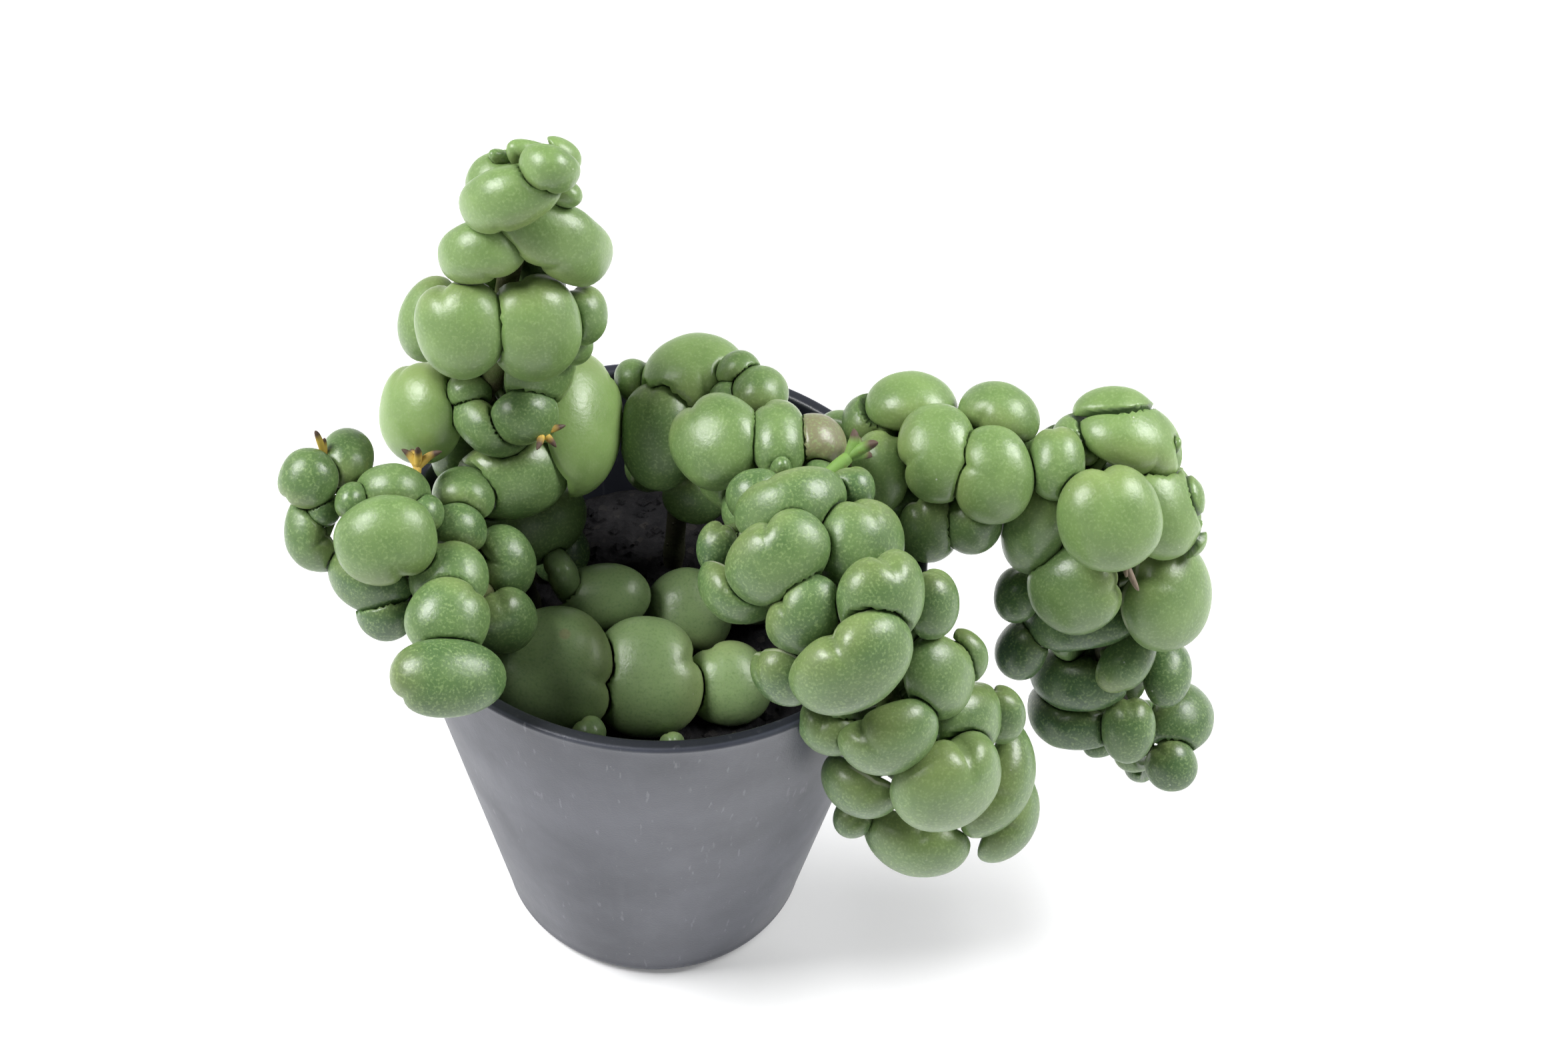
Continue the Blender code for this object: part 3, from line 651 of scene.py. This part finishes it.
# Young leaves lying on the soil: (x, y, height of the centre, length, width, heading of the tip,
# depth of the notch).  The first five are solids of the frame.
BASAL_LEAVES = [(-20, -20, 85, 24, 25, 195, 0.2), (-2, -18, 81, 22, 24, 180, 0.2),
                (-12, -2, 86, 20, 14, 15, 0.0), (6, 2, 78, 17, 18, 90, 0.1),
                (14, -16, 77, 17, 17, -80, 0.1)]
SMALL_BASAL_LEAVES = [(-13, -33, 82, 6, 7, -60, 0.1), (3, -31, 77, 4, 5, -80, 0.1),
                      (-19, -1, 92, 6, 13, 30, 0.1), (19, 6, 76, 11, 8, 0, 0.1),
                      (-28, -14, 84, 10, 9, -90, 0.1)]

# Leaves on the far side of each stem follow its growth in pairs, turned a little from one pair to
# the next and smaller toward the tip: (stem, first place, last place, step, size).
FAR_LEAVES = [("A", 18, 100, 13, 18), ("B", 34, 70, 12, 13), ("K", 34, 60, 13, 12),
              ("C", 24, 168, 13, 16), ("D", 34, 172, 12, 15)]


class Leaf:
    """A swollen leaf: x across it, y from its base to its tip, z out of its face.

    Along a direction from its centre the surface lies at r = ((cos p / oval)^n + (sin p /
    swell)^n)^(-1/n), p being the angle out of the leaf's plane and n the dome power.  The oval
    is a slightly squared ellipse, drawn out a little at the tip and cut in by a notch at the
    base, which is deepest in the leaf's plane and may sit off its middle.  Swell is the height
    of the face or the back.  A soft unevenness is added, and the leaf bends back like a saddle.
    """

    def __init__(self, name, centre, normal, tip, length, width, tone, notch, seed):
        self.name = name
        self.centre = np.asarray(centre, float)
        z = normal / np.linalg.norm(normal)
        y = tip - (tip @ z) * z
        y /= np.linalg.norm(y)
        self.axes = np.array([np.cross(y, z), y, z])
        self.length, self.width = length, width
        self.tone, self.notch, self.seed = tone, notch, seed
        self.skew = 0.45 * math.sin(3.7 * seed)
        small = min(length, width)
        self.face = FACE_SWELL * small + 1.2
        self.back = BACK_SWELL * small + 1.0
        self.bend = BEND / (0.5 * small) ** 2
        self.reach = 0.6 * max(length, width)
        self.root = None
        self.rank = self.centre @ LIGHT

    def radius(self, direction):
        """Distance from the centre to the unbent surface along unit directions."""
        x, y, z = direction[..., 0], direction[..., 1], direction[..., 2]
        flat = np.sqrt(x * x + y * y) + 1e-9
        turn = np.arctan2(x, y)
        across, lengthways = np.abs(x) / flat, np.abs(y) / flat
        oval = ((across / (self.width / 2)) ** OUTLINE_POWER
                + (lengthways / (self.length / 2)) ** OUTLINE_POWER
                + 1e-9) ** (-1.0 / OUTLINE_POWER)
        from_base = np.abs((turn - self.skew) % (2 * np.pi) - np.pi)
        cleft = (0.08 + 0.45 * self.notch) * flat ** 1.5
        cleft_width = 0.15 + 0.20 * self.notch
        oval = oval * (1.0 + POINT * np.exp(-(turn / 0.4) ** 2)
                       - cleft * np.exp(-(from_base / cleft_width) ** 1.2))
        uneven = np.sin(2.0 * turn + self.seed) + np.sin(3.0 * turn + 2.3 * self.seed)
        oval = oval * (1.0 + 0.014 * uneven)
        swell = np.where(z > 0.0, self.face, self.back)
        section = (flat / oval) ** DOME_POWER + (np.abs(z) / swell) ** DOME_POWER
        return section ** (-1.0 / DOME_POWER)

    def place(self, local):
        """Bend local points and put them in the world."""
        bent = local.copy()
        bent[..., 2] -= self.bend * (local[..., 0] ** 2 + 0.6 * local[..., 1] ** 2)
        return self.centre + bent @ self.axes

    def depth(self, points):
        """0 at the leaf's centre, 1 on its surface, more outside."""
        local = (points - self.centre) @ self.axes.T
        local[..., 2] += self.bend * (local[..., 0] ** 2 + 0.6 * local[..., 1] ** 2)
        distance = np.linalg.norm(local, axis=-1) + 1e-9
        return distance / self.radius(local / distance[..., None])


def outward_at(curve, place, around):
    """A stem's point at a place along it, its tangent there, and the way out at an angle."""
    line, tangent, along = curve
    i = min(int(np.searchsorted(along, place)), len(line) - 1)
    lit, side = lit_frame(tangent[i])
    angle = math.radians(around)
    return line[i], tangent[i], math.cos(angle) * lit + math.sin(angle) * side


def stem_leaf(name, row, curve, seed, cone_start=math.inf):
    """A leaf placed on its stem, its face turned outward and toward the light."""
    place, around, lift, length, width, turn, tone, notch = row
    root, growth, outward = outward_at(curve, place, around)
    past_tip = max(place - curve[2][-1], 0.0)
    centre = root + outward * lift + growth * past_tip
    cone = max(place - cone_start, 0.0)
    normal = outward + (LIGHT if abs(around) < 120 else 0.0)
    normal = normal + CONE_TILT * min(cone / CONE_EASE, 1.0) * growth
    normal = normal / np.linalg.norm(normal)
    ahead = growth - (growth @ normal) * normal
    ahead /= np.linalg.norm(ahead)
    angle = math.radians(turn)
    tip = math.cos(angle) * ahead + math.sin(angle) * np.cross(normal, ahead)
    leaf = Leaf(name, centre, normal, tip, length, width, tone, notch, seed)
    leaf.root = root
    leaf.rank += CONE_RANK * cone
    return leaf


def basal_leaf(name, row, tone, seed):
    """A leaf lying on the soil, tilted a little toward the light."""
    x, y, height, length, width, heading, notch = row
    angle = math.radians(heading)
    tip = np.array([math.cos(angle), math.sin(angle), 0.0])
    leaf = Leaf(name, (x, y, height), np.array([0.0, -0.60, 0.80]), tip, length, width, tone,
                notch, seed)
    leaf.root = leaf.centre - tip * 0.2 * length - leaf.axes[2] * 7.0
    return leaf


def pot_clearance(points):
    """Distance in millimetres outside the pot's wall and lip and the soil; negative inside."""
    distance = np.hypot(points[..., 0], points[..., 1])
    z = points[..., 2]
    outer = wall_radius(z)
    inner = np.where(z > POT_HEIGHT - LIP_DEPTH - 1.0, RIM_RADIUS - LIP_WIDTH, outer - WALL)
    wall = np.maximum(np.maximum(distance - outer, inner - distance), z - POT_HEIGHT)
    earth = np.maximum(z - soil_top - 0.4, distance - outer)
    return np.minimum(wall, earth)


def line_clearance(points, leaf, lines):
    """Distance in millimetres to the nearest stem that passes near the leaf, at most 9."""
    nearest = np.full(points.shape[:-1], 9.0)
    for line, radius in lines:
        close = line[np.linalg.norm(line - leaf.centre, axis=1) < leaf.reach + radius + 2.0]
        for centre in close:
            gap = np.linalg.norm(points - centre, axis=-1) - radius
            np.minimum(nearest, gap, out=nearest)
    return nearest


def pressed_reach(leaf, directions, others, lines):
    """How far the leaf grows along each direction, as a share of its full radius.

    Along each direction the leaf keeps growing until it is full, or until its own depth there
    passes a neighbour's, so two crowded leaves share their contact as one pressed face.  The
    leaf nearer the light takes the larger share.
    """
    full = leaf.radius(directions)
    steps = np.linspace(0.06, 1.0, GROWTH_STEPS)
    points = leaf.place(directions[:, None, :] * (full[:, None] * steps)[..., None])
    room = np.minimum(pot_clearance(points), line_clearance(points, leaf, lines)) - CLEARANCE
    room = room / ROOM_SCALE
    for other in others:
        apart = np.linalg.norm(other.centre - leaf.centre)
        if other is leaf or apart > leaf.reach + other.reach:
            continue
        ahead = (leaf.rank - other.rank) / (0.5 * (leaf.reach + other.reach))
        mine = max(leaf.depth(other.centre[None])[0] - 2 * CONTACT, 0.0)
        theirs = max(other.depth(leaf.centre[None])[0] - 2 * CONTACT, 0.0)
        sharing = np.clip(SHARING * ahead, -1.0 if theirs > 1.0 else -0.8 * theirs,
                          1.0 if mine > 1.0 else 0.8 * mine)
        limit = steps[None, :] - sharing
        if sharing < 0.0:
            limit = np.minimum(limit, 1.0)
        room = np.minimum(room, other.depth(points) - limit - CONTACT)
    blocked = room < 0.0
    first = np.where(blocked.any(axis=1), blocked.argmax(axis=1), len(steps))
    here = np.clip(first, 1, len(steps) - 1)
    rows = np.arange(len(directions))
    before, after = room[rows, here - 1], room[rows, here]
    share = np.clip(before / (before - after + 1e-9), 0.0, 1.0)
    cut = steps[here - 1] + share * (steps[here] - steps[here - 1])
    return np.where(first >= len(steps), 1.0, np.where(first == 0, steps[0], cut))


def leaf_grid():
    """Unit directions of a globe whose poles are the leaf's face and back, and its faces.

    Rings crowd toward the leaf's edge, where the surface turns fastest: the angle from the face
    pole is a = u + 0.16 sin 2u.
    """
    around = 2 * np.pi * np.arange(LEAF_AROUND) / LEAF_AROUND
    u = np.pi * np.arange(1, LEAF_OVER) / LEAF_OVER
    over = u + 0.16 * np.sin(2 * u)
    ring = np.sin(over)[:, None]
    grid = np.stack([ring * np.sin(around), ring * np.cos(around),
                     np.cos(over)[:, None] + 0 * around], -1).reshape(-1, 3)
    directions = np.vstack([grid, [[0, 0, 1.0]], [[0, 0, -1.0]]])
    faces = band_faces(LEAF_OVER - 1, LEAF_AROUND)
    faces += cap_faces(0, len(grid), LEAF_AROUND, True)
    faces += cap_faces(len(grid) - LEAF_AROUND, len(grid) + 1, LEAF_AROUND, False)
    return directions, faces


def leaf_stalk(leaf):
    """The short stalk from the stem into the leaf's base: a bent tube up to 1.1 mm in radius."""
    base = leaf.place(np.array([0.0, -0.30 * leaf.length, -0.2 * leaf.back]))
    t = np.linspace(0.0, 1.0, 7)[:, None]
    bow = leaf.axes[2] * -1.0 * np.sin(np.pi * t)
    path = leaf.root * (1 - t) + base * t + bow
    return tube(path, np.full(7, min(1.1, 0.09 * leaf.length)), 10)


def leaf_surface(leaf, others, lines):
    """Points of one pressed leaf, and for each point the three values that its skin reads.

    Edge is 1 on the leaf's rim, spread runs from 0 at its base to 1 at its tip, and the third value
    rises to 1 where a neighbour holds the leaf back, to paint shade into the creases there.
    """
    reach = pressed_reach(leaf, globe, others, lines)
    local = globe * (leaf.radius(globe) * reach)[:, None]
    points = leaf.place(local)
    edge = np.exp(-((globe[:, 2] + 0.12) / 0.16) ** 2)
    spread = (local[:, 1] / (0.5 * leaf.length) + 1.0) / 2
    # Painted shade in the creases: how far a neighbour holds the leaf back.
    crease_shade = np.clip((1.0 - reach) / CREASE_SHADE_DEPTH, 0.0, 1.0)
    return points, edge, spread, crease_shade


def store_values(piece, label, values):
    """Keep one value for each point of a piece, for its material to read."""
    layer = piece.data.attributes.new(label, "FLOAT", "POINT")
    layer.data.foreach_set("value", values.astype(np.float32))


def gather(name, leaves, others, lines, material):
    """Join the given leaves and their stalks in one piece with its own colour attributes."""
    points, faces, edge, spread, crease_shade, tone = [], [], [], [], [], []
    start = 0
    for leaf in leaves:
        skin, rim, base_to_tip, held_back_shade = leaf_surface(leaf, others, lines)
        stalk, stalk_faces = leaf_stalk(leaf)
        bare = np.zeros(len(stalk))
        # Stalks take a constant half of the painted shade in creases.
        for part, part_faces, part_edge, part_spread, part_crease_shade in (
                (skin, globe_faces, rim, base_to_tip, held_back_shade),
                (stalk, stalk_faces, bare, bare, bare + 0.5)):
            points.append(part)
            faces += [[corner + start for corner in face] for face in part_faces]
            edge.append(part_edge)
            spread.append(part_spread)
            crease_shade.append(part_crease_shade)
            tone.append(np.full(len(part), leaf.tone))
            start += len(part)
    piece = mesh_piece(name, np.vstack(points), faces, material)
    for label, values in (("edge", edge), ("spread", spread), ("crease_shade", crease_shade),
                          ("tone", tone)):
        store_values(piece, label, np.concatenate(values))
    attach(piece, "root")
    return piece


def attribute(tree, name):
    """The value of one of the piece's own point attributes."""
    node = tree.nodes.new("ShaderNodeAttribute")
    node.attribute_name = name
    return node.outputs["Fac"]


def leaf_skin_group():
    """Shared skin detail: tone, mottling, pale dots, painted shade in creases, dry edges, scars,
    dust.
    """
    group = bpy.data.node_groups.new("leaf_skin", "ShaderNodeTree")
    for label, kind in (("Deep", "NodeSocketColor"), ("Light", "NodeSocketColor"),
                        ("Dot", "NodeSocketColor"), ("Dots", "NodeSocketFloat")):
        group.interface.new_socket(label, in_out="INPUT", socket_type=kind)
    for label, kind in (("Color", "NodeSocketColor"), ("Roughness", "NodeSocketFloat"),
                        ("Height", "NodeSocketFloat")):
        group.interface.new_socket(label, in_out="OUTPUT", socket_type=kind)
    taken = group.nodes.new("NodeGroupInput")
    given = group.nodes.new("NodeGroupOutput")

    mottle = noise_at(group, 150.0, 4.0, 0.6)
    # The tone mixes each leaf's own green with painted light and shade from its place on the plant.
    tone = calculate(group, "ADD", remap(group, attribute(group, "tone"), -1.0, 1.0),
                     remap(group, mottle, 0.35, 0.65, -0.10, 0.10))
    base = blend_colours(group, tone, taken.outputs["Deep"], taken.outputs["Light"])

    olive = remap(group, attribute(group, "tone"), 1.2, 1.8, 0.0, 0.85)
    base = blend_colours(group, olive, base, (0.175, 0.150, 0.095))

    dots = noise_at(group, 1900.0, 2.0, 0.5)
    dots = calculate(group, "MULTIPLY", remap(group, dots, 0.50, 0.72), taken.outputs["Dots"])
    base = blend_colours(group, dots, base, taken.outputs["Dot"])

    warm = remap(group, attribute(group, "spread"), 0.30, 0.0, 0.0, 0.30)
    base = blend_colours(group, warm, base, (0.27, 0.30, 0.10))

    # Painted shade: darkened where a neighbour holds the leaf back.
    painted_crease_shade = remap(group, attribute(group, "crease_shade"), 0.0, 1.0, 0.0, 0.75)
    base = blend_colours(group, painted_crease_shade, base, (0.022, 0.050, 0.020))

    line = calculate(group, "MULTIPLY", remap(group, attribute(group, "edge"), 0.80, 0.98),
                     remap(group, noise_at(group, 55.0, 3.0, 0.6), 0.54, 0.62))
    base = blend_colours(group, calculate(group, "MULTIPLY", line, 0.75), base,
                         (0.46, 0.48, 0.36))

    distance, own = cells_at(group, 62.0)
    scar = calculate(group, "MULTIPLY", remap(group, distance, 0.085, 0.055),
                     remap(group, own, 0.86, 0.88))
    base = blend_colours(group, calculate(group, "MULTIPLY", scar, 0.75), base,
                         (0.30, 0.17, 0.11))

    grain_distance, grain_own = cells_at(group, 520.0)
    dust = calculate(group, "MULTIPLY", remap(group, grain_distance, 0.12, 0.06),
                     remap(group, grain_own, 0.86, 0.90))
    base = blend_colours(group, calculate(group, "MULTIPLY", dust, 0.7), base, (0.6, 0.62, 0.56))

    group.links.new(base, given.inputs["Color"])
    rough = calculate(group, "ADD", remap(group, mottle, 0.3, 0.7, 0.30, 0.42),
                      calculate(group, "MULTIPLY", line, 0.25))
    group.links.new(rough, given.inputs["Roughness"])
    pits = noise_at(group, 1100.0, 3.0, 0.55)
    dents = noise_at(group, 90.0, 3.0, 0.5)
    height = calculate(group, "ADD", pits, calculate(group, "MULTIPLY", dents, 6.0))
    height = calculate(group, "SUBTRACT", height, calculate(group, "MULTIPLY", scar, 1.5))
    group.links.new(height, given.inputs["Height"])
    return group


def leaf_material(name, deep, light, dot, dots):
    """Waxy leaf skin between a deep and a light green, with dots of a third colour."""
    material, tree, shader = new_material(name, 0.55)
    skin = tree.nodes.new("ShaderNodeGroup")
    skin.node_tree = leaf_skin
    for label, colour in (("Deep", deep), ("Light", light), ("Dot", dot)):
        skin.inputs[label].default_value = (*colour, 1.0)
    skin.inputs["Dots"].default_value = dots
    tree.links.new(skin.outputs["Color"], shader.inputs["Base Color"])
    tree.links.new(skin.outputs["Roughness"], shader.inputs["Roughness"])
    add_bump(tree, shader, skin.outputs["Height"], 0.00006)
    shader.inputs["Subsurface Weight"].default_value = 0.12
    shader.inputs["Subsurface Radius"].default_value = (0.5, 1.0, 0.25)
    shader.inputs["Subsurface Scale"].default_value = 0.003
    return material


leaf_skin = leaf_skin_group()
mature = leaf_material("leaf_mature", (0.034, 0.082, 0.030), (0.200, 0.305, 0.098),
                       (0.235, 0.335, 0.135), 0.60)
young = leaf_material("leaf_young", (0.105, 0.170, 0.070), (0.225, 0.320, 0.135),
                      (0.080, 0.150, 0.050), 0.40)
globe, globe_faces = leaf_grid()

solid_leaves, extra_leaves = {}, {}
seed = 0
for name, curve in curves.items():
    solid_leaves[name] = []
    for number, row in enumerate(LEAVES[name], start=1):
        seed += 1
        solid_leaves[name].append(stem_leaf(f"leaf_{name}{number:02d}", row, curve, seed,
                                            CONE_START.get(name, math.inf)))
    extra_leaves[name] = []
    for number, row in enumerate(SMALL_LEAVES[name], start=1):
        seed += 1
        extra_leaves[name].append(stem_leaf(f"small_{name}{number:02d}", row, curve, seed,
                                            CONE_START.get(name, math.inf)))
for name, first, last, step, size in FAR_LEAVES:
    for number, place in enumerate(np.arange(first, last + 1, step)):
        young_end = min(1.0, 0.45 + (last - place) / 60.0)
        for hand in (-1, 1):
            seed += 1
            around = hand * (142 + 10 * math.sin(2.1 * number))
            length = size * young_end * (1.0 + 0.12 * math.sin(1.7 * seed))
            row = (place + 3.0 * hand, around, 0.38 * size * young_end + 2.0, length,
                   0.95 * size * young_end, 180 - 35 * hand, -0.1 + 0.2 * math.sin(seed), 0.15)
            extra_leaves[name].append(stem_leaf(f"far_{name}{seed}", row, curves[name], seed))
solid_leaves["E"] = [basal_leaf(f"leaf_E{n:02d}", row, 0.4, 300 + n)
                     for n, row in enumerate(BASAL_LEAVES, start=1)]
extra_leaves["E"] = [basal_leaf(f"small_E{n:02d}", row, 0.2, 320 + n)
                     for n, row in enumerate(SMALL_BASAL_LEAVES, start=1)]

every_leaf = [leaf for group in (*solid_leaves.values(), *extra_leaves.values()) for leaf in group]
stem_lines = [(curve[0][::8], STEM_RADIUS) for curve in curves.values()]
for name in solid_leaves:
    material, slot = (young, "leaf_young") if name == "E" else (mature, "leaf")
    for leaf in solid_leaves[name]:
        piece = gather(leaf.name + "_skin", [leaf], every_leaf, stem_lines, material)
        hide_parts(leaf.name)
    gather(f"small_leaves_{name}", extra_leaves[name], every_leaf, stem_lines, material)


# ==================================================================== flower stalks
# Short flower stalks stand out between the leaves and end in a star of small pointed bracts,
# yellow at the foot and dried brown at the points; one is still a fresh green shoot.

# Each stalk: (stem, along, degrees around, length, radius at the foot, rise along the stem).
STALKS = [("A", 53, 42, 11.0, 1.2, 4.0), ("B", 60, 105, 9.0, 1.2, 2.0),
          ("C", 86, -85, 12.0, 1.8, -2.0)]
# What each stalk carries: (bracts, length, how far they open, fresh from 0 dry to 1 green).
TUFTS = [(5, 4.6, 0.95, 0.0), (5, 4.8, 0.90, 0.0), (4, 7.0, 0.60, 1.0)]
# Loose ends without a solid of their own: (stem, along, around, foot, length, rise, fresh).
LOOSE_ENDS = [("B", 79, 46, 6.0, 8.5, 3.0, 0.1), ("D", 107, -6, 9.5, 6.0, 9.0, -1.0),
              ("C", 166, -40, 9.0, 4.0, 3.0, 0.6), ("A", 56, 60, 9.0, 6.0, 3.0, 0.7)]
STALK_RINGS, STALK_SIDES = 16, 14
BRACT_RINGS, BRACT_SIDES = 12, 10


def stalk_skin():
    """Yellow tissue that dries to brown where the dry attribute is high, green where fresh."""
    material, tree, shader = new_material("flower_stalk", 0.3)
    patch = noise_at(tree, 420.0, 4.0, 0.6)
    flesh = blend_colours(tree, remap(tree, attribute(tree, "fresh"), 0.0, 1.0),
                          (0.58, 0.40, 0.08), (0.150, 0.270, 0.060))
    wither = remap(tree, attribute(tree, "dry"), 0.55, 0.80)
    spots = remap(tree, patch, 0.56, 0.66, 0.0, 0.55)
    base = blend_colours(tree, spots, flesh, (0.24, 0.15, 0.05))
    base = blend_colours(tree, wither, base, (0.085, 0.055, 0.040))
    woody = remap(tree, attribute(tree, "fresh"), -0.2, -0.8)
    base = blend_colours(tree, woody, base, blend_colours(tree, patch, (0.10, 0.07, 0.05),
                                                          (0.30, 0.24, 0.18)))
    tree.links.new(base, shader.inputs["Base Color"])
    tree.links.new(remap(tree, patch, 0.3, 0.7, 0.45, 0.8), shader.inputs["Roughness"])
    add_bump(tree, shader, patch, 0.0002)
    return material


def bract(foot, axis, away, length, width):
    """A pointed bract: a tube along a bow from the axis to one side, thickest before the middle."""
    t = np.linspace(0.0, 1.0, BRACT_RINGS)[:, None]
    path = foot + axis * length * np.sin(1.3 * t) / 1.3 + away * length * 0.9 * t ** 1.5
    radii = width * (0.35 + 1.4 * t[:, 0]) * (1.0 - t[:, 0]) ** 0.8 + 0.10
    points, faces = tube(path, radii, BRACT_SIDES)
    dry = np.append(np.repeat(t[:, 0], BRACT_SIDES), (0.0, 1.0))
    return points, faces, dry


def stalk_piece(name, parts, fresh):
    """Join tubes and bracts in one piece and store how dry and how fresh each point is."""
    points, faces, dry, start = [], [], [], 0
    for part, part_faces, part_dry in parts:
        points.append(part)
        faces += [[corner + start for corner in face] for face in part_faces]
        dry.append(part_dry)
        start += len(part)
    piece = mesh_piece(name, np.vstack(points), faces, stalk_material)
    store_values(piece, "dry", np.concatenate(dry))
    store_values(piece, "fresh", np.full(start, fresh))
    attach(piece, "root")
    return piece


stalk_material = stalk_skin()
for number, (row, tuft) in enumerate(zip(STALKS, TUFTS), start=1):
    name, place, around, length, radius, rise = row
    bracts, bract_length, open_by, fresh = tuft
    foot, tangent, out = outward_at(curves[name], place, around)
    t = np.linspace(0.0, 1.0, STALK_RINGS)[:, None]
    path = foot + out * (STEM_RADIUS * 0.5 + (length + 1.6) * t) + tangent * rise * t ** 2
    radii = radius * (1.0 - 0.40 * t[:, 0] + 0.10 * np.sin(9.0 * t[:, 0]))
    shaft, shaft_faces = tube(path, radii, STALK_SIDES)
    tubes = [(shaft, shaft_faces, np.zeros(len(shaft)))]
    axis = path[-1] - path[-3]
    axis /= np.linalg.norm(axis)
    first = np.cross(axis, tangent)
    first /= np.linalg.norm(first)
    second = np.cross(axis, first)
    for k in range(bracts):
        turn = 2 * math.pi * k / bracts + 0.4 * number
        away = (math.cos(turn) * first + math.sin(turn) * second) * open_by
        size = bract_length * (1.0 + 0.15 * math.sin(2.7 * k + number))
        tubes.append(bract(path[-1] - axis * 0.8, axis, away, size, 0.24 * bract_length))
    stalk = stalk_piece(f"flower_stalk_{number}_tuft", tubes, fresh)
    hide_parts(f"flower_stalk_{number}")
for number, (name, place, around, lift, length, rise, fresh) in enumerate(LOOSE_ENDS, start=1):
    foot, tangent, out = outward_at(curves[name], place, around)
    start = foot + out * lift
    toward = out * length + tangent * rise
    size = np.linalg.norm(toward)
    aside = np.cross(toward, tangent) / size
    spikes = [bract(start - toward * 0.15, toward / size, aside * bow, size * share, 0.9)
              for bow, share in ((0.12, 1.0), (-0.25, 0.6))]
    stalk_piece(f"stalk_end_{number}", spikes, fresh)
